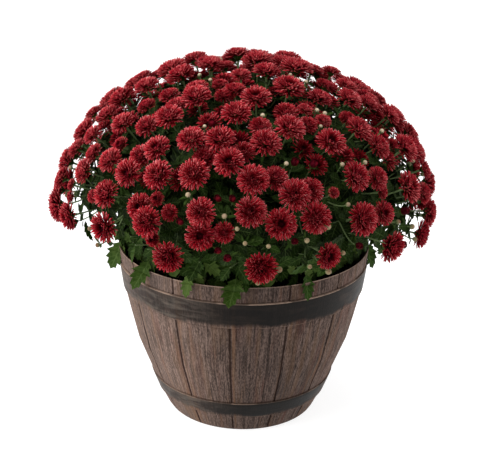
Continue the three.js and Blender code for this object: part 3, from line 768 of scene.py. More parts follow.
def soil_finish():
    """Dark crumbs with a few straws of bark."""
    finish = Finish("potting soil", Specular_IOR_Level=0.2)
    place = finish.place()
    crumb = finish.noise(place, 300, 4, 0.65)
    fibre = finish.noise(finish.stretched(place, 1, 0.2, 1), 420, 2)
    damp = finish.noise(place, 26, 2)
    stops = ((0.3, SOIL_DARK), (0.5, SOIL_BROWN), (0.72, SOIL_LIGHT))
    straws = finish.smooth(fibre, 0.66, 0.74) * 0.5
    colour = finish.mix(straws, finish.ramp(crumb * 0.7 + damp * 0.3, *stops), SOIL_STRAW)
    return finish.surface(colour, 0.95, crumb, distance=1.6, strength=0.9)


def inside_finish():
    finish = Finish("planter inside", Specular_IOR_Level=0.3)
    grain = finish.noise(finish.place(), 220, 3)
    colour = finish.mix(grain, WOOD_DARK, JOINT_BROWN)
    return finish.surface(colour, 0.7, grain, distance=0.5, strength=0.5)


# Painted shade darkens the planter's front about this turn, and painted light pales the side about the
# next one.
PAINTED_SHADE_SIDE = -74  # degrees about Z
PAINTED_LIGHT_SIDE = -150


def planter_finish():
    """Moulded wood grain in taupe, with charcoal hoops, dark joints, worn edges with painted
    highlights, and painted shade at the front and painted light on one side.
    """
    finish = Finish("moulded barrel", Specular_IOR_Level=0.09)
    smooth = finish.smooth
    place = finish.place()
    x, y, height = finish.split(place)
    level = height / MM
    radius = finish.math("SQRT", x * x + y * y)
    stave = (finish.math("ARCTAN2", y, x) - FIRST_JOINT) * (1 / STAVE_ANGLE)
    share = finish.math("FRACT", stave)
    number = finish.math("FLOOR", stave)
    from_joint = (0.5 - abs(share - 0.5)) * radius * (STAVE_ANGLE / MM)

    # Grain runs up each stave whatever its lean.
    outward = finish.vector("NORMALIZE", finish.stretched(place, 1, 1, 0))
    shift = finish.stretched(finish.node("CombineXYZ", None, {2: number}).outputs[0], 0, 0, 0.37)
    wall = finish.stretched(outward, 0.14, 0.14, 0)

    def along_grain(stretch, *pattern):
        up = finish.stretched(place, 0, 0, stretch)
        return finish.noise(finish.vector("ADD", finish.vector("ADD", wall, up), shift), *pattern)

    def toward(degrees):
        turn = math.radians(degrees)
        x_out, y_out, _ = finish.split(outward)
        return x_out * math.cos(turn) + y_out * math.sin(turn)

    lines = along_grain(0.05, 560, 3, 0.65, 0.6)
    pits = along_grain(0.3, 800, 3, 0.7)
    streaks = along_grain(0.1, 70, 3, 0.55, 0.8)
    patches = along_grain(0.5, 16, 2, 0.5)
    cracks = smooth(along_grain(0.04, 210, 2, 0.5), 0.62, 0.7)
    ochre = smooth(along_grain(0.06, 130, 2), 0.5, 0.66)
    scuffs = along_grain(1.0, 120, 3, 0.6)
    tone = finish.node("TexWhiteNoise", {"noise_dimensions": "1D"}, {"W": number}).outputs["Value"]
    each = 0.25 + Signal(finish, tone) * 0.25  # no two staves are quite alike
    grain = lines * 0.48 + pits * 0.52
    flank = smooth(from_joint, 2.0, 3.2) * (1 - smooth(from_joint, 4.5, 8.5))

    # Painted light and shade: the side that faces the key lamp is painted paler, and the front is
    # painted darker as shade.
    painted_front_shade = smooth(toward(PAINTED_SHADE_SIDE), 0.62, 1.0)
    painted_side_light = smooth(toward(PAINTED_LIGHT_SIDE), 0.5, 0.98)
    wood = finish.layers(
        finish.ramp(grain, (0.37, WOOD_DARK), (0.47, WOOD_TAUPE), (0.6, WOOD_LIGHT)),
        (smooth(streaks, 0.5, 0.68) * 0.7, WOOD_RED),
        (smooth(patches, 0.5, 0.7) * 0.45, WOOD_GREY),
        (each, finish.ramp(grain, (0.38, WOOD_DARK), (0.6, WOOD_LIGHT))),
        (cracks * 0.55, WOOD_DARK),
        (ochre * (0.1 + 0.4 * patches), WOOD_OCHRE),
        # painted shade on the front and painted light on the side that faces the key lamp
        (painted_front_shade * (0.1 + 0.55 * patches), WOOD_DARK),
        (painted_side_light * 0.14, WOOD_LIT),
        (flank * smooth(streaks, 0.42, 0.58) * 0.3, WOOD_OCHRE),
    )

    def within(low, high, soft):
        return smooth(level, low - soft, low + soft) * (1 - smooth(level, high - soft, high + soft))

    def at_foot(hoop, low, high, soft):
        return within(hoop[0] + low, hoop[0] + high, soft)

    def at_top(hoop, low, high, soft):
        return within(hoop[1] + low, hoop[1] + high, soft)

    def painted(low, high):
        return within(low, high, 0.5) * smooth(level + ragged, low - 1, low + 6)

    # Hoops: brushed paint, thin in patches and ragged at its lower edge.
    round_the_hoop = finish.stretched(outward, 0.03, 0.03, 0)
    brush_place = finish.vector("ADD", round_the_hoop, finish.stretched(place, 0, 0, 1))
    brushed = finish.noise(brush_place, 150, 3, 0.6, 0.3)
    thin = smooth(finish.noise(finish.stretched(place, 1, 1, 2.5), 8, 3, 0.6), 0.5, 0.7)
    ragged = (finish.noise(place, 24, 3, 0.65) - 0.5) * 18
    # The paint is also thinner on the lit side, as painted light, and full on the shaded front.
    cover = 0.96 - thin * 0.36 * (1 - painted_front_shade) - painted_side_light * scuffs * 0.35
    paint = (painted(*UPPER_HOOP) + painted(*LOWER_HOOP)) * cover
    worn_top = at_top(UPPER_HOOP, -7, 0, 4) + at_top(LOWER_HOOP, -5, 0, 3)
    stops = ((0.34, HOOP_BLACK), (0.5, HOOP_CHARCOAL), (0.68, HOOP_BROWN))
    hoop = finish.layers(
        finish.ramp(brushed * 0.75 + scuffs * 0.25, *stops),
        (smooth(finish.noise(place, 11, 1), 0.52, 0.7) * 0.5, HOOP_BLUE),
        (worn_top * 0.35 * (0.4 + brushed) * (1 - 0.5 * painted_front_shade), HOOP_BROWN),
        # painted shade darkens the hoops at the front
        (painted_front_shade * 0.82, HOOP_BLACK),
        # a painted sheen of reflected light on the lit side of the hoops
        (painted_side_light * painted_side_light * smooth(brushed, 0.4, 0.62) * 0.36, HOOP_SHEEN),
    )

    # Dirt in the joints, painted shade beside the hoops, and paint rubbed off the edges with painted
    # highlights along them.
    bare = 1 - within(*UPPER_HOOP, 0.5) - within(*LOWER_HOOP, 0.5)
    joint = (1 - smooth(from_joint + scuffs * 0.8, 0.8, 2.5)) * bare
    # painted shade in the creases just below and above each hoop
    beside = at_foot(UPPER_HOOP, -2.2, 0, 0.9) + at_foot(LOWER_HOOP, -1.8, 0, 0.7)
    beside = beside * 0.4 + at_top(UPPER_HOOP, 0, 1.6, 0.7) + at_top(LOWER_HOOP, 0, 2.2, 0.9)
    joint_dirt_and_hoop_shade = finish.math("MINIMUM", joint + beside * bare * (0.5 + pits * 0.5), 1)
    rubbed = smooth(finish.noise(place, 30, 2) + 0.12 * scuffs, 0.5, 0.6)
    # Rubbed edges: partly real wear, partly painted highlights along the hoops' edges and the lip.
    tops = at_top(UPPER_HOOP, -0.9, 0.4, 0.4) + at_top(LOWER_HOOP, -0.7, 0.3, 0.4) * 0.5
    hoop_foot_highlight = at_foot(UPPER_HOOP, -0.8, 0.3, 0.4) + at_foot(LOWER_HOOP, -0.6, 0.3, 0.4)
    edges = tops * (0.3 + 0.7 * rubbed) + hoop_foot_highlight * rubbed * 0.6
    lip = smooth(level, RIM - 1.6, RIM - 0.4)
    wear_and_highlight = finish.math("MINIMUM", edges + lip * (0.4 + rubbed * 0.5), 1)
    colour = finish.layers(
        wood, (paint, hoop), (joint_dirt_and_hoop_shade * (0.6 + 0.4 * scuffs), JOINT_BROWN), (wear_and_highlight * 0.8, EDGE_PALE),
    )
    height = (grain + streaks * 0.3) * (1 - 0.8 * paint) + (brushed + scuffs) * 0.15 * paint
    roughness = 0.7 + 0.2 * grain - 0.36 * paint
    return finish.surface(colour, roughness, height, distance=1.2, strength=0.85)


# ---------------------------------------------------------------- planter

# Radius and height of the planter's section, outside and inside.
OUTLINE = [
    (98, 0), (100.5, 1), (103, 5), (108.5, 16.5), (114, 28), (115.7, 28), (120, 39.5), (124.2, 51),
    (122.4, 51), (132.5, 78), (142.6, 105), (151, 140), (158.6, 175), (160.4, 175), (162.8, 192),
    (164.8, 209), (162.9, 209), (164, 220), (165, 231),
]
HOLLOW = [(160, 231), (157, 212), (139.5, 110), (125.5, 71), (109.5, 28), (98, 6)]
LIP = 0.9
ROW_STEPS = (6.0, 9)  # outside and inside
COLUMNS_PER_STAVE = 12
JOINT = {"depth": 1.0, "width": 0.42, "foot": 5, "short": 0.2}  # its width is a share of a column
LEAN = 0.27  # how far the wall leans out for each millimetre of height
WEAR = {"width": 0.45, "segments": 2, "angle": 38}
SLIVER = 0.02  # bevelled corners closer than this are one corner
SWELL = {"crown": 0.5, "wave": 0.35, "sunk": 0.3, "on_hoop": 0.25}
WAVE_SIZE = (16, 90)  # waves per turn of the wall, and millimetres of height to a wave
DRAINS = {"count": 4, "turn": 45, "ring": 63, "radius": 6, "depth": 18, "sides": 20}


def finer(profile, step):
    """The same outline with rows no further apart than a step."""
    rows = [profile[0]]
    for (r0, z0), (r1, z1) in zip(profile, profile[1:]):
        parts = max(1, math.ceil(abs(z1 - z0) / step))
        for k in range(1, parts + 1):
            rows.append((r0 + (r1 - r0) * k / parts, z0 + (z1 - z0) * k / parts))
    return rows


def on_hoop(height):
    return any(low - 0.1 < height < high + 0.1 for low, high in (LOWER_HOOP, UPPER_HOOP))


def build_planter():
    columns = STAVES * COLUMNS_PER_STAVE
    half = math.pi / columns
    planter = new_piece(
        "stave_planter", bpy.ops.mesh.primitive_circle_add, vertices=columns,
        radius=OUTLINE[0][0] * MM, rotation=(0, 0, FIRST_JOINT + half - math.pi / 2),
    )
    outside, inside = (finer(rows, step) for rows, step in zip((OUTLINE, HOLLOW), ROW_STEPS))
    with editing(planter, "EDGE"):
        bpy.ops.mesh.select_all(action="SELECT")
        raise_rings(outside + [(OUTLINE[-1][0] - LIP, RIM)] + inside[1:])
        bpy.ops.mesh.edge_face_add()
        select(planter, "EDGE", lambda spot: spot.z < 1e-6)
        bpy.ops.mesh.edge_face_add()

    # The columns beside each joint are drawn together and pushed in.
    spots = spots_of(planter)
    turns = np.arctan2(spots[:, 1], spots[:, 0]) - FIRST_JOINT
    off = (turns + STAVE_ANGLE / 2) % STAVE_ANGLE - STAVE_ANGLE / 2
    close = (abs(off) < 1.5 * half) & (np.hypot(spots[:, 0], spots[:, 1]) > 1e-6)
    shift = np.where(close, off * (JOINT["width"] - 1), 0)
    spots[:, 0], spots[:, 1] = (
        spots[:, 0] * np.cos(shift) - spots[:, 1] * np.sin(shift),
        spots[:, 0] * np.sin(shift) + spots[:, 1] * np.cos(shift),
    )
    set_spots(planter, spots)

    def in_joint(spot):
        turn = (math.atan2(spot.y, spot.x) - FIRST_JOINT + half) % STAVE_ANGLE
        level = spot.z / MM
        outer = math.hypot(spot.x, spot.y) / MM > 98.5 + LEAN * level
        raised = JOINT["foot"] < level < RIM - JOINT["short"]
        return turn < 2 * half and outer and raised and not on_hoop(level)

    with editing(planter, "FACE"):
        select(planter, "FACE", in_joint)
        inward = {"value": -JOINT["depth"] * MM}
        bpy.ops.mesh.extrude_region_shrink_fatten(TRANSFORM_OT_shrink_fatten=inward)
    return planter


def apply_modifier(piece, kind, **settings):
    only(piece)
    modifier = piece.modifiers.new(kind.lower(), kind)
    for key, value in settings.items():
        setattr(modifier, key, value)
    bpy.ops.object.modifier_apply(modifier=modifier.name)


def drill_drains(planter):
    """Four round drain holes through the base, as the solid has them."""
    pins = []
    for k in range(DRAINS["count"]):
        turn = math.radians(DRAINS["turn"] + 360 * k / DRAINS["count"])
        place = around(turn, DRAINS["ring"], 0) * MM
        pins.append(new_piece(
            f"drain_{k}", bpy.ops.mesh.primitive_cylinder_add, vertices=DRAINS["sides"],
            radius=DRAINS["radius"] * MM, depth=DRAINS["depth"] * MM, location=place,
        ))
    drill = join("drains", pins)
    apply_modifier(planter, "BOOLEAN", operation="DIFFERENCE", object=drill)
    discard(drill)


def finish_planter(planter, outside, inside):
    drill_drains(planter)
    apply_modifier(
        planter, "BEVEL", width=WEAR["width"] * MM, segments=WEAR["segments"],
        limit_method="ANGLE", angle_limit=math.radians(WEAR["angle"]),
    )
    with editing(planter):
        bpy.ops.mesh.select_all(action="SELECT")
        bpy.ops.mesh.remove_doubles(threshold=SLIVER * MM)
        bpy.ops.mesh.dissolve_degenerate(threshold=SLIVER / 4 * MM)

    # Each stave is slightly crowned, and its face undulates like planed wood.
    spots = spots_of(planter) / MM
    turn = np.arctan2(spots[:, 1], spots[:, 0]) - FIRST_JOINT
    share = (turn / STAVE_ANGLE) % 1
    reach = np.hypot(spots[:, 0], spots[:, 1])
    outer = (reach > 99 + LEAN * spots[:, 2]) & (spots[:, 2] > 2) & (spots[:, 2] < RIM - 0.5)
    waves, rise = WAVE_SIZE
    wave = np.array([
        noise.noise(Vector((x / r * waves, y / r * waves, z / rise)))
        for (x, y, z), r in zip(spots, np.maximum(reach, 1))
    ])
    calm = np.where([on_hoop(z) for z in spots[:, 2]], SWELL["on_hoop"], 1.0)
    swell = (SWELL["crown"] * np.sin(np.pi * share) + SWELL["wave"] * wave) * calm - SWELL["sunk"]
    spots[:, :2] *= (1 + np.where(outer, swell, 0) / np.maximum(reach, 1))[:, None]
    set_spots(planter, spots * MM)

    dress(planter, outside, inside)
    for face in planter.data.polygons:
        spot = face.center / MM
        within = math.hypot(spot.x, spot.y) < 96.5 + LEAN * spot.z and spot.z > 4
        face.material_index = 1 if within and spot.z < RIM - 0.3 else 0
    soften(planter, 32)
    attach(planter, "root")
    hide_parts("planter")


# ---------------------------------------------------------------- soil

SOIL_SECTION = ((152.2, SOIL_LEVEL), (138, 110), (109, 28), (97.4, 6.3))  # radius, height
SOIL_EDGE = SOIL_SECTION[0][0]
SOIL_SIDES = 96
SOIL_RINGS = 22
SOIL_RELIEF = 0.8
LUMPS = {"size": 14, "height": 2.4}
CRUMBS = {"count": 420, "clear": 5, "raised": (-0.5, 2.2), "lean": (0.4, 2), "size": (1.2, 3.2)}
CRUMB_FORM = {"length": (0.6, 2.0), "height": (0.5, 0.8)}  # as shares of a crumb's width


def soil_relief(x, y):
    swell = 2.2 * (math.sin(x / 17 + 1) * math.cos(y / 21) + math.sin((x + y) / 9) / 2)
    return swell * SOIL_RELIEF


def build_soil(finish_):
    soil = new_piece(
        "potting_soil", bpy.ops.mesh.primitive_circle_add, vertices=SOIL_SIDES,
        radius=SOIL_EDGE * MM, fill_type="NGON", location=(0, 0, SOIL_LEVEL * MM),
    )
    with editing(soil, "FACE"):
        bpy.ops.mesh.select_all(action="SELECT")
        for _ in range(SOIL_RINGS):
            bpy.ops.mesh.inset(thickness=SOIL_EDGE / (SOIL_RINGS + 1.5) * MM)
        bpy.ops.mesh.poke()
        select(soil, "EDGE", lambda spot: math.hypot(spot.x, spot.y) > (SOIL_EDGE - 0.6) * MM)
        raise_rings(SOIL_SECTION)
        bpy.ops.mesh.edge_face_add()
        face_out()
    spots = spots_of(soil) / MM
    for spot in spots:
        if spot[2] > SOIL_LEVEL - 1:
            lump = noise.fractal(Vector(spot) / LUMPS["size"], 1.0, 2.0, 3)
            spot[2] += soil_relief(spot[0], spot[1]) + lump * LUMPS["height"]
    set_spots(soil, spots * MM)

    draw = make_random(SOIL_SEED)
    crumb = new_piece("crumb", bpy.ops.mesh.primitive_ico_sphere_add, subdivisions=1, radius=1)
    pieces = [soil]
    for _ in range(CRUMBS["count"]):
        reach = (SOIL_EDGE - CRUMBS["clear"]) * math.sqrt(draw())
        spot = around(draw(0, 2 * math.pi), reach, SOIL_LEVEL + draw(*CRUMBS["raised"]))
        spot[2] += soil_relief(spot[0], spot[1])
        side, other = frame_across(unit(vec(draw(-1, 1), draw(-1, 1), draw(*CRUMBS["lean"]))))
        size = draw(*CRUMBS["size"]) * MM
        scale = (size, size * draw(*CRUMB_FORM["length"]), size * draw(*CRUMB_FORM["height"]))
        pieces.append(copy_of(crumb, placed(side, other, np.cross(side, other), spot * MM, scale)))
    discard(crumb)
    soil = join("potting_soil", pieces)
    dress(soil, finish_)
    soften(soil, 50)
    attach(soil, "root")
    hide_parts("soil")


# ---------------------------------------------------------------- one petal, one leaf, one bud

PETAL_ROWS = ((0, 0, 0), (0.45, 0.84, 0.14), (0.87, 0.8, 0.2), (1, 0, 0))  # along, width, cup
INNER_PETAL_ROWS = ((0, 0, 0), (0.74, 1, 0.22), (1, 0, 0))
BRACT_ROWS = ((0, 0, 0), (0.35, 0.3, 0.1), (0.7, 0.24, 0.1), (1, 0, 0))
LEAF_ROWS = (  # rib along, edge along, half width
    (0.0, 0.0, 0.0), (0.16, 0.13, 0.05), (0.22, 0.28, 0.62), (0.34, 0.34, 0.46),
    (0.42, 0.53, 1.0), (0.52, 0.54, 0.62), (0.6, 0.74, 0.84), (0.7, 0.73, 0.5),
    (0.8, 0.89, 0.5), (0.9, 0.9, 0.3), (1.0, 1.0, 0.0),
)
INNER_LEAF_ROWS = ((0, 0, 0), (0.2, 0.2, 0.4), (0.5, 0.55, 1.0), (0.8, 0.84, 0.6), (1, 1, 0))
LEAF_WIDTH = 0.33  # half width of the widest lobes, as a share of a leaf's length
LEAF_CUP = 0.13
PETAL_THICKNESS, BRACT_THICKNESS, LEAF_THICKNESS = 0.05, 0.03, 0.018


def thin_form(name, rows, thickness):
    """A sheet of three columns with a thin closed body: both faces share its edge.

    The rows say how far along the middle and the edge are, the width and the depth of the fold.
    """
    steps = len(rows) - 1
    form = new_piece(
        name, bpy.ops.mesh.primitive_grid_add,
        x_subdivisions=2, y_subdivisions=steps, size=1, location=(0, 0.5, 0),
    )
    with editing(form):
        for k, row in enumerate(rows):
            select(form, "VERT", lambda spot: abs(spot.y - k / steps) < 1e-4 and abs(spot.x) < 1e-4)
            bpy.ops.transform.translate(value=(0, 0, -row[3]))
        bpy.ops.mesh.select_all(action="SELECT")
        bpy.ops.mesh.duplicate()
        bpy.ops.mesh.flip_normals()
    spots = spots_of(form)
    for i, spot in enumerate(spots):
        k = int(round(spot[1] * steps))
        middle = abs(spot[0]) < 1e-4
        spot[1] = rows[k][0 if middle else 1]
        spot[0] *= rows[k][2]
        if i >= len(spots) // 2 and middle and 0 < k < steps:
            spot[2] -= thickness
    set_spots(form, spots)
    with editing(form):
        bpy.ops.mesh.select_all(action="SELECT")
        bpy.ops.mesh.remove_doubles(threshold=1e-5)
        face_out()
    soften(form)
    return form


def straight_form(name, rows, thickness, *finishes):
    """A thin form whose middle and edge run alike. A second finish is for its underside."""
    form = thin_form(name, [(along, along, width, cup) for along, width, cup in rows], thickness)
    dress(form, *finishes)
    for face in form.data.polygons:
        face.material_index = 1 if face.normal.z < 0 and len(finishes) > 1 else 0
    return form


def leaf_form(finish_, form_rows):
    rows = [(rib, edge, 2 * half * LEAF_WIDTH, LEAF_CUP * half) for rib, edge, half in form_rows]
    leaf = thin_form("leaf", rows, LEAF_THICKNESS)
    dress(leaf, finish_)
    soften(leaf, 60)
    return leaf


BUD = {"segments": 9, "ring_count": 6, "radius": 0.94}
SEPALS = {
    "count": 7, "lean": 0.55, "reach": 0.42, "foot": -0.95, "size": (2.4, 1.55, 1.0), "curl": 0.62,
    "tint": 0.7,
}
WRAPS = {
    "count": 15, "rise": (72, 56), "reach": 0.3, "foot": -0.9, "size": (1.1, 1.9, 1.1), "curl": 0.95,
}


def bud_form(top_finish, bract):
    """A round bud held by narrow green sepals."""
    bud = new_piece("bud", bpy.ops.mesh.primitive_uv_sphere_add, **BUD)
    with editing(bud):
        select(bud, "VERT", lambda spot: spot.z < -0.5)
        bpy.ops.transform.resize(value=(0.8, 0.8, 1.0))
        select(bud, "VERT", lambda spot: spot.z > 0.85)
        bpy.ops.transform.translate(value=(0, 0, -0.14))
    dress(bud, top_finish)
    soften(bud)
    pieces = [bud]
    for k in range(SEPALS["count"]):
        out, side = spoke(2 * math.pi * k / SEPALS["count"])
        ahead = unit(out * SEPALS["lean"] + UP)
        root = out * SEPALS["reach"] + UP * SEPALS["foot"]
        matrix = placed(side, ahead, np.cross(side, ahead), root, SEPALS["size"])
        pieces.append(copy_of(bract, matrix, SEPALS["tint"], bending(SEPALS["curl"])))
    return join("bud", pieces)


# ---------------------------------------------------------------- blooms

PETAL_SPREAD = 1.08  # how far the longest petals reach, as a share of the bloom's solid
PETAL_MINGLE = 7.0  # how far neighbouring blooms reach in among each other's petals
PETALS_PER_BLOOM = 236
PETALS_BEHIND = 96
OUTER_PETALS = 0.62  # share of the petals from which the finer form is used
KINDS = (  # dark share, first whorl
    (0.18, 0), (0.05, -0.3), (0.22, 0.04), (0.14, -0.08), (0.05, -0.2), (0.2, 0.02),
)
FULL_KINDS = (1, 4)  # with petals right to the middle, as most are in the upper part
FULL_HEIGHT = 0.3
NOT_FULL = 4  # one bloom in this many is of any kind even there
RISE = ((-0.35, 80), (0, 57), (0.25, 50), (0.5, 36), (0.75, 20), (1, 3))  # how steep, in degrees
REACH = ((-0.35, 0.38), (0, 0.57), (0.25, 0.66), (0.5, 0.77), (0.75, 0.85), (1, 0.81))
CURL = ((-0.35, 0.2), (0.1, 0.08), (0.5, 0.08), (1, -0.03))
CURL_GAIN = 3.2
TUFT = {"rise": (86, 58), "reach": (0.16, 0.33), "curl": 0.08, "tint": 0.16}
# Inner whorls get lower tints, so their petals are painted darker, as shade deep in the bloom.
TINT = {"least": 0.18, "varies": 0.66, "outward": 0.3}
ROOTS = {"out": (0.02, 0.2), "height": (0.0, -0.12)}
PETAL_WIDTHS = (0.1, 0.138)
PETAL_DEPTH = 0.2
CROWDING = 0.78  # below 1, so that more of the petals stand in the outer whorls
VARIES = {  # how far single petals stray
    "turn": (-0.12, 0.12), "rise": (-6, 6), "reach": (0.96, 1.04), "curl": (-0.07, 0.07),
    "width": (0.9, 1.12), "twist": (-0.3, 0.3),
}
# Painted shade: petals of blooms that sit deeper or lower are painted darker.
BLOOM_SHADE = {  # petals of deeper and of lower blooms are darker
    "depth": ((0.9, 1), (0.6, 1)), "height": ((-0.2, 0.4), (0.6, 1.04)), "varies": (0.85, 1.05),
}
BEHIND = {
    "places": 620, "spiral": (1.05, 0.4), "radius": (12.5, 16.5), "sunk": (15, 25), "room": 0.8,
    "rise": (0.42, 0.66), "most": 0.75, "under": 18, "bend": 0.4,
}


def bloom_form(name, inner_petal, petal, petals, draw, kind):
    """Petals in a spiral: a dark tuft in the middle, a bowl around it and flatter ones to the rim."""
    core, first = kind
    pieces = []
    for i in range(petals):
        share = i / (petals - 1)
        turn = i * GOLDEN + draw(*VARIES["turn"])
        if share < core:
            rise, reach = (lerp(*TUFT[key], share / core) for key in ("rise", "reach"))
            curl = TUFT["curl"]
            tint = TUFT["tint"] * draw()
        else:
            whorl = lerp(first, 1, ((share - core) / (1 - core)) ** CROWDING)
            rise, reach, curl = (read_off(rows, whorl) for rows in (RISE, REACH, CURL))
            tint = TINT["least"] + TINT["varies"] * draw() + TINT["outward"] * whorl
        rise = math.radians(rise + draw(*VARIES["rise"]))
        reach *= draw(*VARIES["reach"])
        curl += draw(*VARIES["curl"])
        width = lerp(*PETAL_WIDTHS, share) * draw(*VARIES["width"])
        out, side = spoke(turn)
        root = out * lerp(*ROOTS["out"], share) + UP * lerp(*ROOTS["height"], share)
        ahead = swung(out, UP, rise)
        up = np.cross(side, ahead)
        twist = draw(*VARIES["twist"])
        side, up = swung(side, up, twist), swung(up, -side, twist)
        matrix = placed(side, ahead, up, root, (width, reach, PETAL_DEPTH))
        form = petal if share > OUTER_PETALS else inner_petal
        pieces.append(copy_of(form, matrix, tint, bending(curl * CURL_GAIN)))
    return join(name, pieces)


def red_bud_form(petal, draw):
    """A bloom about to open: petals wrapped round each other."""
    pieces = []
    for i in range(WRAPS["count"]):
        out, side = spoke(i * GOLDEN)
        ahead = swung(out, UP, math.radians(lerp(*WRAPS["rise"], i / (WRAPS["count"] - 1))))
        width, reach, depth = WRAPS["size"]
        size = (width, reach * draw(0.92, 1.05), depth)
        root = out * WRAPS["reach"] + UP * WRAPS["foot"]
        matrix = placed(side, ahead, np.cross(side, ahead), root, size)
        # Low tints make these petals dark: partly the bud's deeper red, partly painted shade.
        pieces.append(copy_of(petal, matrix, draw(0.06, 0.2), bending(WRAPS["curl"])))
    return join("red_bud", pieces)


# Radius and height of the cup under a bloom.
CALYX_ROWS = ((0.07, BLOOM_BASE), (0.17, -0.34), (0.31, -0.2), (0.36, -0.1), (0.2, -0.06))
CALYX_TINT = 0.6
RED_CUP = {"down": 0.1, "size": 2.2}  # the same cup under a bloom about to open


def calyx_form(leaf_finish_):
    """The green cup under a bloom."""
    calyx = new_piece(
        "calyx", bpy.ops.mesh.primitive_circle_add,
        vertices=9, radius=CALYX_ROWS[0][0], fill_type="NGON", location=(0, 0, BLOOM_BASE),
    )
    with editing(calyx, "EDGE"):
        bpy.ops.mesh.select_all(action="SELECT")
        raise_rings(CALYX_ROWS, 1)
        bpy.ops.mesh.edge_face_add()
        face_out()
    dress(calyx, leaf_finish_)
    soften(calyx)
    set_tint(calyx, CALYX_TINT)
    return calyx


def blooms_behind(blooms, sprays):
    """Smaller blooms set deeper, in the gaps that the outer ones leave in the upper part."""
    draw = make_random(BEHIND_SEED)
    found = []
    for i in range(BEHIND["places"]):
        spot, height = dome_place(i, BEHIND["places"], *BEHIND["spiral"])
        radius, sunk, chance = draw(*BEHIND["radius"]), draw(*BEHIND["sunk"]), draw()
        bloom = bloom_at(spot, radius, sunk, draw)
        room = has_room(bloom["centre"], radius, BEHIND["room"], blooms + found)
        if room and chance < np.interp(height, BEHIND["rise"], (0, BEHIND["most"])):
            near = min(sprays, key=lambda s: min(length(b["centre"] - spot) for b in s["blooms"]))
            base = bloom["centre"] + bloom["axis"] * radius * BLOOM_BASE
            bloom.update(deep=True, near=[], base=base)
            near["behind"].append(bloom)
            found.append(bloom)
    return found


def build_spray(spray, forms, behind_forms):
    pieces = []
    for bloom in spray["blooms"] + spray["behind"]:
        ball = on_ball(bloom["centre"])
        choice = int(bloom["spin"] * 97)
        kinds = behind_forms if bloom.get("deep") else forms
        if kinds is forms and ball[2] > FULL_HEIGHT and choice % NOT_FULL:
            kinds = [forms[k] for k in FULL_KINDS]
        axis = bloom["axis"]
        turned = swung(*frame_across(axis), bloom["spin"] * 2)
        size = (bloom["radius"] * PETAL_SPREAD * MM,) * 3
        matrix = placed(turned, np.cross(axis, turned), axis, bloom["centre"] * MM, size)
        piece = copy_of(kinds[choice % len(kinds)], matrix)
        set_spots(piece, keep_own_side(spots_of(piece) / MM, bloom, -PETAL_MINGLE) * MM)
        # painted shade for blooms set deeper or lower on the dome
        lit_share = np.interp(length(ball), *BLOOM_SHADE["depth"])
        lit_share = float(lit_share * np.interp(ball[2], *BLOOM_SHADE["height"]))
        scale_tint(piece, lit_share * lerp(*BLOOM_SHADE["varies"], bloom["spin"] / math.pi))
        pieces.append(piece)
    piece = join(spray["name"].replace("bloom_spray", "petal_spray"), pieces)
    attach(piece, "root")
    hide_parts(spray["name"])


# ---------------------------------------------------------------- leafy stems

LEAF_STEP = 8.5
LEAF_DEPTH = 0.91  # leaves stay within this share of the dome
INNER_DEPTH = 0.8  # leaves further in than this are seen only through gaps
INNER_HEIGHT = 275
CROWN_DEPTH = 0.97  # and the small ones right under the blooms within this one
CROWN_SIZES = (14, 21)
SMALL_LEAF = 21
LEAF_SIZES = (23, 36)
LEAFY = {  # the part of a shoot's length that carries leaves
    "stem": (0.3, 0.98), "shoot": (0.12, 0.93), "crown": (0.6, 0.97), "low": (0.3, 1.0),
}
DROOP = (0.15, 0.55)
RIM_SHOOT = {"start": 0.55, "raised": 6, "stalk": 0.18, "stalk_raised": 1.5, "tint": (0.4, 0.75)}
LOW_SHOOTS = 140
LOW_ENDS = (  # reach and height, each from and to
    ((152, 196), (254, 290)), ((116, 145), (232, 262)), ((138, 156), (226, 240)),
    ((132, 154), (236, 262)), ((128, 148), (214, 228)),
)
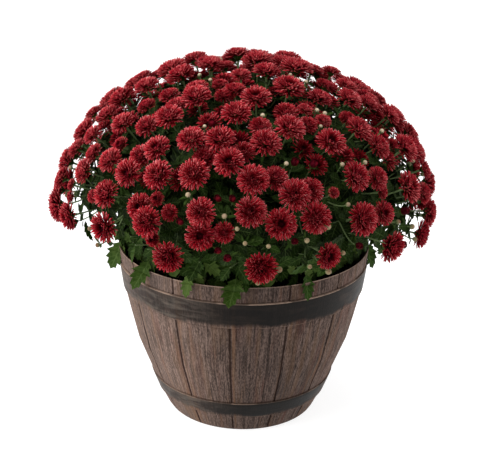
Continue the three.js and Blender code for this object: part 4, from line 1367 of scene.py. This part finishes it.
# Leaves at the rim: turn in degrees, reach, height, size, lean, twist, tint. A higher tint paints a
# leaf lighter where it sits in the light.
RIM_LEAVES = [
    (193, 161, 242, 46, 0.45, -0.85, 0.65), (-113.5, 159, 243, 31, 0.75, 0.2, 0.75),
    (-102, 145, 263, 31, 0.35, 0, 0.45), (-62, 159, 243, 32, 0.7, -0.1, 0.55),
    (-88.8, 159, 242, 17, 0.8, 0, 0.5), (-8, 163, 239, 40, 0.35, 0.6, 0.55),
    (-73, 146, 256, 26, 0.4, 0.3, 0.45), (203, 148, 252, 30, 0.5, -0.3, 0.5),
    (-22, 148, 252, 30, 0.5, 0.2, 0.4), (184, 152, 262, 32, 0.5, -1.2, 0.4),
    (198, 148, 264, 34, 0.45, -1.0, 0.4), (210, 148, 256, 28, 0.5, -0.4, 0.45),
    (191, 146, 252, 30, 0.4, -1.2, 0.35), (217, 146, 252, 28, 0.5, -0.3, 0.35),
    (-4, 152, 262, 32, 0.5, 1.2, 0.35), (-16, 148, 262, 32, 0.45, 0.9, 0.35),
    (-30, 147, 254, 28, 0.5, 0.3, 0.4), (177, 154, 264, 32, 0.5, -1.3, 0.4),
    (187, 158, 256, 28, 0.5, -1.2, 0.5), (-9, 150, 250, 28, 0.4, 1.2, 0.35),
    (-37, 145, 252, 27, 0.35, -0.3, 0.5), (-26, 144, 246, 24, 0.3, 0.4, 0.6),
    (-19, 145, 248, 26, 0.3, 0.7, 0.5), (-13, 146, 252, 26, 0.35, 0.8, 0.55),
    (-45, 145, 250, 26, 0.35, 0.1, 0.5), (-33, 148, 262, 28, 0.45, 0.5, 0.4),
    (206, 144, 246, 26, 0.3, -0.7, 0.5), (221, 144, 248, 26, 0.35, -0.4, 0.5),
    (-42, 148, 250, 28, 0.1, 0.7, 0.8), (-35, 148, 249, 28, 0.1, 0.85, 0.95),
    (-29, 148, 250, 29, 0.1, 0.95, 0.85), (-23, 149, 249, 28, 0.1, 1.05, 0.95),
    (-17, 149, 250, 28, 0.1, 1.15, 0.85), (-11, 150, 250, 28, 0.1, 1.25, 0.9),
    (-28, 146, 260, 26, 0.3, 0.8, 0.8), (-18, 148, 260, 26, 0.3, 1.0, 0.75),
    (56, 136, 302, 38, 0.2, 0.4, 0.15), (50, 128, 306, 36, 0.2, 0.5, 0.15),
]
FAR_RIM_LEAVES = {
    "count": 14, "turns": (15, 165), "astray": 4, "reach": (158, 161), "height": (241, 246),
    "size": (22, 36), "lean": 0.75, "twist": (-0.4, 0.4), "tint": (0.3, 0.75),
}
BRACTS = {
    "shares": (0.62, 0.78, 0.9), "astray": (-0.05, 0.05), "lean": (0.3, 1.1), "size": (8, 15),
    "tint": (0.3, 0.7),
}
BUDS = {
    "places": 160, "spiral": (1.1, 0.7), "room": 3, "sunk": (4, 14), "radius": (2.6, 3.8),
    "lean": (-0.2, 0.2), "upright": 0.15, "under": 40,
}
PLAN_BUDS = {"pale": (0.9, 4), "red": (1.2, 11)}  # share of the width in the plan, and how far sunk
# Girths of the stalks, in mm: first, last and how much wider the end is.
BRANCH, STALK, BUD_STALK = (1.5, 0.95, 0.5), (1.2, 0.85, 0.5), (0.9, 0.7, 0.25)
BEHIND_STALK, SIDE_SHOOT, LEAF_STALK, THIN_SHOOT = (1.1, 0.8), (1.5, 1.3), (1.1, 0.8), (1.2, 0.8)
# How the solids' leaves are told from their stems: distances and heights in mm.
SOLID_LEAF = {
    "off_stem": 4.3, "off_branch": 2.3, "corners": 9, "shortest": 12, "half_width": 22,
    "low_reach": 184, "low_height": 246, "neck": (148, 3, 248, 7),
}


def tubes(name, lines, finish_):
    """Round stalks along lines of (point, radius), as one mesh."""
    curve = bpy.data.curves.new(name, "CURVE")
    curve.dimensions = "3D"
    curve.bevel_depth = 1.0 * MM
    curve.bevel_resolution = 1
    curve.use_fill_caps = True
    for line in lines:
        spline = curve.splines.new("POLY")
        spline.points.add(len(line) - 1)
        for point, (spot, girth) in zip(spline.points, line):
            point.co = (*(spot * MM), 1)
            point.radius = girth
    only(put_in(name, curve))
    bpy.ops.object.convert(target="MESH")
    piece = bpy.context.view_layer.objects.active
    dress(piece, finish_)
    soften(piece)
    return piece


def line_of(points, first, last, flare=0.0):
    girths = np.linspace(first, last, len(points))
    girths[-1] += flare
    return list(zip(points, girths))


def curved(root, bend, end, steps):
    return [quadratic(root, bend, end, share) for share in np.linspace(0, 1, steps)]


def nearest_on(points, spot):
    return min(points, key=lambda point: length(point - spot))


def add_shoots(sprays, stems):
    """Branches as the solids have them, and a stalk to every other bloom of a branch's spray."""
    for spray in sprays:
        stem = spray["stem"]
        _, host, root, bend, end = spray["branch"]
        branch = curved(nearest_on(stem["smooth"][3:], root), bend, end, 9)
        stem["shoots"].append(line_of(branch, *BRANCH))
        waiting = [b for b in spray["blooms"] if b is not host]
        waiting.sort(key=lambda b: length(b["centre"] - host["centre"]))
        for k, bloom in enumerate(waiting):
            down = unit(bloom["centre"] - bloom["crown"])
            tip = bloom["base"] + down * BRANCH_SEAT
            start = branch[2 + k % 4]
            reach = length(tip - start)
            stem["shoots"].append(line_of(curved(start, tip + down * (0.5 * reach), tip, 8), *STALK))


def from_line(spots, line):
    """Distance of each spot from a line of points."""
    nearest = np.full(len(spots), 1e9)
    for a, b in zip(line, line[1:]):
        along = b - a
        share = np.clip((spots - a) @ along / np.dot(along, along), 0, 1)
        off = spots - a - share[:, None] * along
        nearest = np.minimum(nearest, np.sqrt((off * off).sum(1)))
    return nearest


def solid_leaves(stem, branches):
    """Root, tip, face direction and, if it has one, side shoot of each leaf of the stem's solid."""
    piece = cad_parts[stem["name"]]
    spots = np.round(spots_of(piece) / MM, 3)
    corners, index = np.unique(spots, axis=0, return_inverse=True)
    index = index.ravel()
    clear = from_line(corners, stem["spine"]) > SOLID_LEAF["off_stem"]
    for line in branches:
        clear &= from_line(corners, line) > SOLID_LEAF["off_branch"]
    group = np.arange(len(corners))

    def top(k):
        while group[k] != k:
            group[k] = group[group[k]]
            k = group[k]
        return k

    for edge in piece.data.edges:
        a, b = (index[k] for k in edge.vertices)
        if clear[a] and clear[b]:
            group[top(a)] = top(b)
    leaves = []
    tops = np.array([top(k) if clear[k] else -1 for k in range(len(corners))])
    for number in sorted(set(tops) - {-1}):
        own = corners[tops == number]
        if len(own) < SOLID_LEAF["corners"]:
            continue
        off = np.min([from_line(own, line) for line in (stem["spine"], *branches)], axis=0)
        root, tip, shoot = own[off.argmin()], own[off.argmax()], None
        if np.hypot(tip[0], tip[1]) > SOLID_LEAF["low_reach"] and tip[2] < SOLID_LEAF["low_height"]:
            reach, reach_play, height, height_play = SOLID_LEAF["neck"]
            near = abs(np.hypot(own[:, 0], own[:, 1]) - reach) < reach_play
            root = shoot = own[near & (abs(own[:, 2] - height) < height_play)].mean(axis=0)
        elif off.max() < SOLID_LEAF["shortest"]:
            continue
        else:
            root = root + (root - tip) * 0.3
        flat = own[from_line(own, [root, tip]) < SOLID_LEAF["half_width"]]
        spread = np.linalg.eigh(np.cov((flat - flat.mean(axis=0)).T))[1]
        ahead = unit(tip - root)
        up = spread[:, 0] if spread[2, 0] > 0 else -spread[:, 0]
        up = unit(square_to(ahead, up))
        leaves.append((root, tip, up, shoot))
    return leaves


def add_solid_leaves(sprays, stems, draw):
    """The leaves of the solids, and the low side shoots of those that hang over the rim."""
    for stem in stems:
        branches = [
            [quadratic(*spray["branch"][2:], share) for share in (0, 0.5, 1)]
            for spray in sprays if spray["stem"] is stem
        ]
        for root, tip, up, shoot in solid_leaves(stem, branches):
            if shoot is None:
                size = length(tip - root) * 1.02
                stem["leaves"].append((root, unit(tip - root), up, size, leaf_tint(tip, draw)))
                continue
            start = nearest_on(stem["smooth"], along_spine(stem["spine"], RIM_SHOOT["start"]))
            neck = root + (tip - root) * RIM_SHOOT["stalk"]
            middle = (start + shoot) / 2 + UP * RIM_SHOOT["raised"]
            stem["low"].append(line_of(curved(start, middle, shoot, 6), *SIDE_SHOOT))
            middle = (shoot + neck) / 2 + UP * RIM_SHOOT["stalk_raised"]
            stem["low"].append(line_of([shoot, middle, neck], *LEAF_STALK))
            tint = draw(*RIM_SHOOT["tint"])
            stem["leaves"].append((neck, unit(tip - neck), up, length(tip - neck), tint))


def add_low_growth(stems, draw):
    """Leaves that hang at the rim, and short side shoots that fill in above it."""
    outer = [stem for stem in stems if stem["up_to"] < 1]

    def shoot_to(turn, from_ring, raised, end):
        """A side shoot from the outer stem that is nearest to a turn."""
        stem = max(outer, key=lambda s: math.cos(s["turn"] - turn))
        start = stem["smooth"][from_ring]
        middle = (start + end) / 2 + UP * raised
        stem["low"].append(line_of(curved(start, middle, end, 6), *THIN_SHOOT))
        return stem

    rim_leaves = list(RIM_LEAVES)
    far = FAR_RIM_LEAVES
    low, high = far["turns"]
    for k in range(far["count"]):
        turn = low + (high - low) * k / (far["count"] - 1) + draw(-far["astray"], far["astray"])
        place = [draw(*far[key]) for key in ("reach", "height", "size")]
        twist, tint = (draw(*far[key]) for key in ("twist", "tint"))
        rim_leaves.append((turn, *place, far["lean"], twist, tint))
    for turn, reach, height, size, lean, twist, tint in rim_leaves:
        turn = math.radians(turn)
        root = around(turn, reach, height)
        out, _ = spoke(turn)
        ahead = unit(out * lean - UP * math.sqrt(1 - lean * lean))
        side = np.cross(ahead, out)
        up = swung(unit(np.cross(side, ahead)), unit(side), twist)
        shoot_to(turn, 5, 14, root)["hung"].append((root, ahead, up, size, tint))
    for k in range(LOW_SHOOTS):
        turn = 2 * math.pi * k / LOW_SHOOTS + draw(-0.1, 0.1)
        reach, height = LOW_ENDS[k % len(LOW_ENDS)]
        shoot_to(turn, 4 + k % 4, 10, around(turn, draw(*reach), draw(*height)))


BLOOM_ROOM = {"radius": 0.95, "foot": -0.3}  # as shares of the bloom's own radius


def clear_of_blooms(spots, tree, blooms, depth):
    """Whether no spot is inside a bloom or further out than a share of the dome."""
    for spot in spots:
        for _, index, _ in tree.find_n(spot, 3):
            bloom = blooms[index]
            off = (spot - bloom["centre"]) / bloom["radius"]
            if length(off) < BLOOM_ROOM["radius"] and np.dot(off, bloom["axis"]) > BLOOM_ROOM["foot"]:
                return False
        if length(on_ball(spot)) > depth:
            return False
    return True


LIGHT = {  # where leaves are in the light, and how pale it can make them
    "depth": (0.74, 0.95), "height": (235, 300), "reach": (110, 150),
    "least": (0.05, 0.2), "lit_share": (0, 0.38), "low": (0.25, 0.95),
}


def leaf_tint(spot, draw):
    """Painted shade and light: leaves deep inside the plant are painted dark, and those at its surface
    and over the rim lighter.
    """
    lit_share = np.interp(length(on_ball(spot)), LIGHT["depth"], (0, 1))
    low = np.interp(spot[2], LIGHT["height"], (1, 0))
    low *= np.interp(math.hypot(spot[0], spot[1]), LIGHT["reach"], (0, 1))
    return draw(*LIGHT["least"]) + max(lit_share * draw(*LIGHT["lit_share"]), low * draw(*LIGHT["low"]))


TRY = {"count": 7, "turn": 1.3, "smaller": 0.08, "astray": (-0.6, 0.6), "lean": (0.15, 0.75)}
LAST_LEAVES = {"from": 0.8, "size": 0.75}
LEAF_CHECKS = (0.45, 0.75, 1.0)  # shares of a leaf's length that have to be clear


def leaf_places(line, tree, blooms, draw, shares, depth=LEAF_DEPTH, sizes=LEAF_SIZES):
    """Leaves set in a spiral along a shoot, turned until they are clear of the blooms."""
    points = [point for point, *_ in line]
    total = sum(length(b - a) for a, b in zip(points, points[1:]))
    low, high = shares
    count = max(1, int(total * (high - low) / LEAF_STEP))
    places = []
    for k in range(count):
        share = low + (high - low) * (k + draw(0.1, 0.9)) / count
        spot = along_spine(points, share)
        before, after = (along_spine(points, min(max(share + step, 0), 1)) for step in (-0.04, 0.04))
        tangent = unit(after - before)
        side, other = frame_across(tangent)
        smaller = LAST_LEAVES["size"] if share > LAST_LEAVES["from"] else 1
        for attempt in range(TRY["count"]):
            turn = k * GOLDEN + draw(*TRY["astray"]) + attempt * TRY["turn"]
            lean = draw(*TRY["lean"])
            size = draw(*sizes) * (1 - TRY["smaller"] * attempt) * smaller
            ahead = unit(swung(side, other, turn) + tangent * lean)
            up = unit(square_to(ahead, tangent) + UP * 0.25)
            up = unit(square_to(ahead, up))
            tries = [spot + ahead * (size * part) for part in LEAF_CHECKS]
            if clear_of_blooms(tries, tree, blooms, depth):
                places.append((spot, ahead, up, size, leaf_tint(spot + ahead * size * 0.6, draw)))
                break
    return places


def add_bracts(line, stem, draw):
    """Small narrow leaves near the end of a flower stalk."""
    points = [point for point, _ in line]
    for share in BRACTS["shares"]:
        spot = along_spine(points, share + draw(*BRACTS["astray"]))
        tangent = unit(points[-1] - points[-3])
        side, other = frame_across(tangent)
        across = swung(side, other, draw(0, 2 * math.pi))
        ahead = unit(across + tangent * draw(*BRACTS["lean"]))
        up = unit(square_to(ahead, tangent))
        stem["bracts"].append((spot, ahead, up, draw(*BRACTS["size"]), draw(*BRACTS["tint"])))


def build_stem(stem, patterns, stem_material, draw):
    shares = np.linspace(0, 1, len(stem["smooth"]))
    girths = np.interp(shares, np.linspace(0, 1, len(STEM_GIRTHS)), STEM_GIRTHS)
    trunk = list(zip(stem["smooth"], girths))
    pieces = [tubes("stalks", [trunk] + stem["shoots"] + stem["low"], stem_material)]
    set_tint(pieces[0], 0.5)
    growth = [("bract", *place) for place in stem["bracts"]]
    growth += [("leaf", *place) for place in stem["hung"]]
    for place in stem["leaves"]:
        deep = length(on_ball(place[0])) < INNER_DEPTH and place[0][2] > INNER_HEIGHT
        growth.append(("inner leaf" if deep or place[3] < SMALL_LEAF else "leaf", *place))
    for kind, spot, ahead, up, size, tint in growth:
        droop = draw(*DROOP)
        matrix = placed(np.cross(ahead, up), ahead, up, spot * MM, (size * MM,) * 3)
        pieces.append(copy_of(patterns[kind], matrix, tint, bending(-droop)))
    for form, spot, axis, size in stem["buds"]:
        side, other = frame_across(axis)
        tint = draw()
        matrix = placed(side, other, axis, spot * MM, (size * MM,) * 3)
        pieces.append(copy_of(patterns[form], matrix, None if form == "red" else tint))
    piece = join(stem["name"].replace("leafy_stem", "foliage"), pieces)
    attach(piece, "root")
    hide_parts(stem["name"])


def nearest_feeder(feeders, spot):
    """The point of a shoot that is nearest to a spot, with its stem."""
    return min(feeders, key=lambda feed: length(feed[1] - spot))


def add_buds(eye, feeders, blooms, draw):
    """Buds where the plan shows them and, on the far side, wherever there is room between blooms."""
    wanted = [("pale", *bud) for bud in PALE_BUDS] + [("red", *bud) for bud in RED_BUDS]
    places = []
    for form, across, down, width in wanted:
        share, sunk = PLAN_BUDS[form]
        spot, depth = seen_spot(eye, across, down)
        radius = share * width * depth / PLAN["squares"] / 2
        places.append((form, spot - dome_normal(spot) * sunk, radius))
    for i in range(BUDS["places"]):
        spot, _ = dome_place(i, BUDS["places"], *BUDS["spiral"])
        room = all(length(b["centre"] - spot) > b["radius"] + BUDS["room"] for b in blooms)
        if faces_away(spot, eye) and room:
            form = "red" if i % 4 == 0 else "pale"
            spot = spot - dome_normal(spot) * draw(*BUDS["sunk"])
            places.append((form, spot, draw(*BUDS["radius"])))
    for form, spot, radius in places:
        lean = vec(draw(*BUDS["lean"]), draw(*BUDS["lean"]), BUDS["upright"])
        axis = unit(dome_normal(spot) + lean)
        stem, start = nearest_feeder(feeders, spot - dome_normal(spot) * BUDS["under"])
        bend, end = spot - axis * (0.5 * length(spot - start)), spot - axis * (radius * 0.8)
        stem["shoots"].append(line_of(curved(start, bend, end, 6), *BUD_STALK))
        stem["buds"].append((form, spot, axis, radius))


# ---------------------------------------------------------------- camera, light and floor

CAMERA = {"sensor_width": 36, "clip_end": 50}
LAMPS = (  # name, place, power, spread in degrees, colour
    ("key", (-2.8, -0.9, 2.1), 3.1, 50, (1, 0.99, 0.97)),
    ("fill", (2.8, -0.7, 1.7), 0.8, 50, (0.98, 0.99, 1)),
    ("overhead", (-0.3, 0.2, 3), 1.4, 60, (1, 1, 1)),
)
AIM = (0, 0, 0.25)  # what the lamps point at
SKY = {"Color": (1, 1, 1, 1), "Strength": 0.5}
FLOOR = {"size": 16, "location": (0, 0, -0.0002)}
FLOOR_GREYS = ((0.4, 0.4, 0.4), (0.42, 0.42, 0.42))


def set_the_scene(eye):
    scene = bpy.context.scene
    scene.view_settings.view_transform = "Standard"
    camera = bpy.data.cameras.new("camera")
    camera.sensor_width, camera.clip_end = CAMERA["sensor_width"], CAMERA["clip_end"]
    camera.lens = camera.sensor_width * PLAN["squares"] / PLAN["width"]
    seat = put_in("camera", camera)
    seat.matrix_world = placed(eye["right"], eye["up"], -eye["ahead"], eye["spot"] * MM, (1, 1, 1))
    scene.camera = seat

    world = bpy.data.worlds.new("studio")
    scene.world = world
    world.use_nodes = True
    background = next(node for node in world.node_tree.nodes if node.type == "BACKGROUND")
    for socket, value in SKY.items():
        background.inputs[socket].default_value = value

    for name, spot, power, spread, colour in LAMPS:
        lamp = bpy.data.lights.new(name, "SUN")
        lamp.energy = power
        lamp.angle = math.radians(spread)
        lamp.color = colour
        turn = (Vector(AIM) - Vector(spot)).to_track_quat("-Z", "Y").to_matrix().to_4x4()
        put_in(name, lamp).matrix_world = Matrix.Translation(spot) @ turn

    floor = new_piece("floor", bpy.ops.mesh.primitive_plane_add, **FLOOR)
    finish = Finish("pale floor", Specular_IOR_Level=0.1, Emission_Strength=0.8)
    cloud = finish.noise(finish.place(), 3, 2)
    dress(floor, finish.surface(finish.mix(cloud, *FLOOR_GREYS), roughness=0.8))


# ---------------------------------------------------------------- making

eye = eye_frame()
set_the_scene(eye)
blooms = all_blooms(eye)
sprays = gather_sprays(blooms)
stems = [make_stem(ring, k) for ring in STEM_RINGS for k in range(ring["count"])]
for number, stem in enumerate(stems, 1):
    stem["name"] = f"leafy_stem_{number:02d}"
    stem["tree"], _ = corner_tree([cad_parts[stem["name"]]])
for spray in sprays:
    spray["stem"] = stem_for(spray, stems)
    spray["branch"] = find_branch(spray, spray["stem"])

finish_planter(build_planter(), planter_finish(), inside_finish())
build_soil(soil_finish())

petal_sides = (
    petal_finish("petal face", (PETAL_ROOT, PETAL_DEEP, PETAL_MIDDLE, PETAL_TIP), PETAL_EDGE_HIGHLIGHT, 0.92),
    petal_finish("petal underside", (UNDER_ROOT, PETAL_DEEP, UNDER_TIP, UNDER_TIP), UNDER_EDGE_HIGHLIGHT, 0.9),
)
petal = straight_form("petal", PETAL_ROWS, PETAL_THICKNESS, *petal_sides)
inner_petal = straight_form("petal", INNER_PETAL_ROWS, PETAL_THICKNESS, *petal_sides)
leaf_material = leaf_finish()
stem_material = stem_finish()
patterns = {
    "leaf": leaf_form(leaf_material, LEAF_ROWS),
    "inner leaf": leaf_form(leaf_material, INNER_LEAF_ROWS),
    "bract": straight_form("bract", BRACT_ROWS, BRACT_THICKNESS, leaf_material),
}
patterns["pale"] = bud_form(bud_finish(), patterns["bract"])
calyx = calyx_form(leaf_material)
draw = make_random(GROWTH_SEED)
forms = []
for k, kind in enumerate(KINDS):
    bloom_piece = bloom_form(f"bloom_{k}", inner_petal, petal, PETALS_PER_BLOOM, draw, kind)
    forms.append(join(f"bloom_{k}", [bloom_piece, copy_of(calyx, Matrix.Identity(4))]))
behind_forms = [
    bloom_form(f"behind_{k}", inner_petal, petal, PETALS_BEHIND, draw, kind)
    for k, kind in enumerate(KINDS[:2])
]
lower = Matrix.Translation((0, 0, -RED_CUP["down"]))
cup = copy_of(calyx, lower @ Matrix.Scale(RED_CUP["size"], 4))
patterns["red"] = join("red_bud", [red_bud_form(petal, draw), cup])

behind = blooms_behind(blooms, sprays)
for spray in sprays:
    build_spray(spray, forms, behind_forms)

add_shoots(sprays, stems)
feeders = [(stem, point) for stem in stems for line in stem["shoots"] for point, _ in line[2:-1]]
for bloom in behind:
    stem, start = nearest_feeder(feeders, bloom["base"] - bloom["axis"] * BEHIND["under"])
    rise = BEHIND["bend"] * length(bloom["base"] - start)
    stalk = curved(start, bloom["base"] - bloom["axis"] * rise, bloom["base"], 5)
    stem["shoots"].append(line_of(stalk, *BEHIND_STALK))
add_buds(eye, feeders, blooms, draw)
add_solid_leaves(sprays, stems, draw)
add_low_growth(stems, draw)
tree = kdtree.KDTree(len(blooms))
for index, bloom in enumerate(blooms):
    tree.insert(bloom["centre"], index)
tree.balance()
for stem in stems:
    growing = [([(point,) for point in stem["smooth"]], LEAFY["stem"])]
    for line in stem["shoots"]:
        growing += [(line, LEAFY["shoot"]), (line, LEAFY["crown"], CROWN_DEPTH, CROWN_SIZES)]
    growing += [(line, LEAFY["low"]) for line in stem["low"]]
    for line, *how in growing:
        stem["leaves"] += leaf_places(line, tree, blooms, draw, *how)
    for line in stem["shoots"]:
        add_bracts(line, stem, draw)
    build_stem(stem, patterns, stem_material, draw)
discard(petal, inner_petal, calyx, *forms, *behind_forms, *patterns.values())
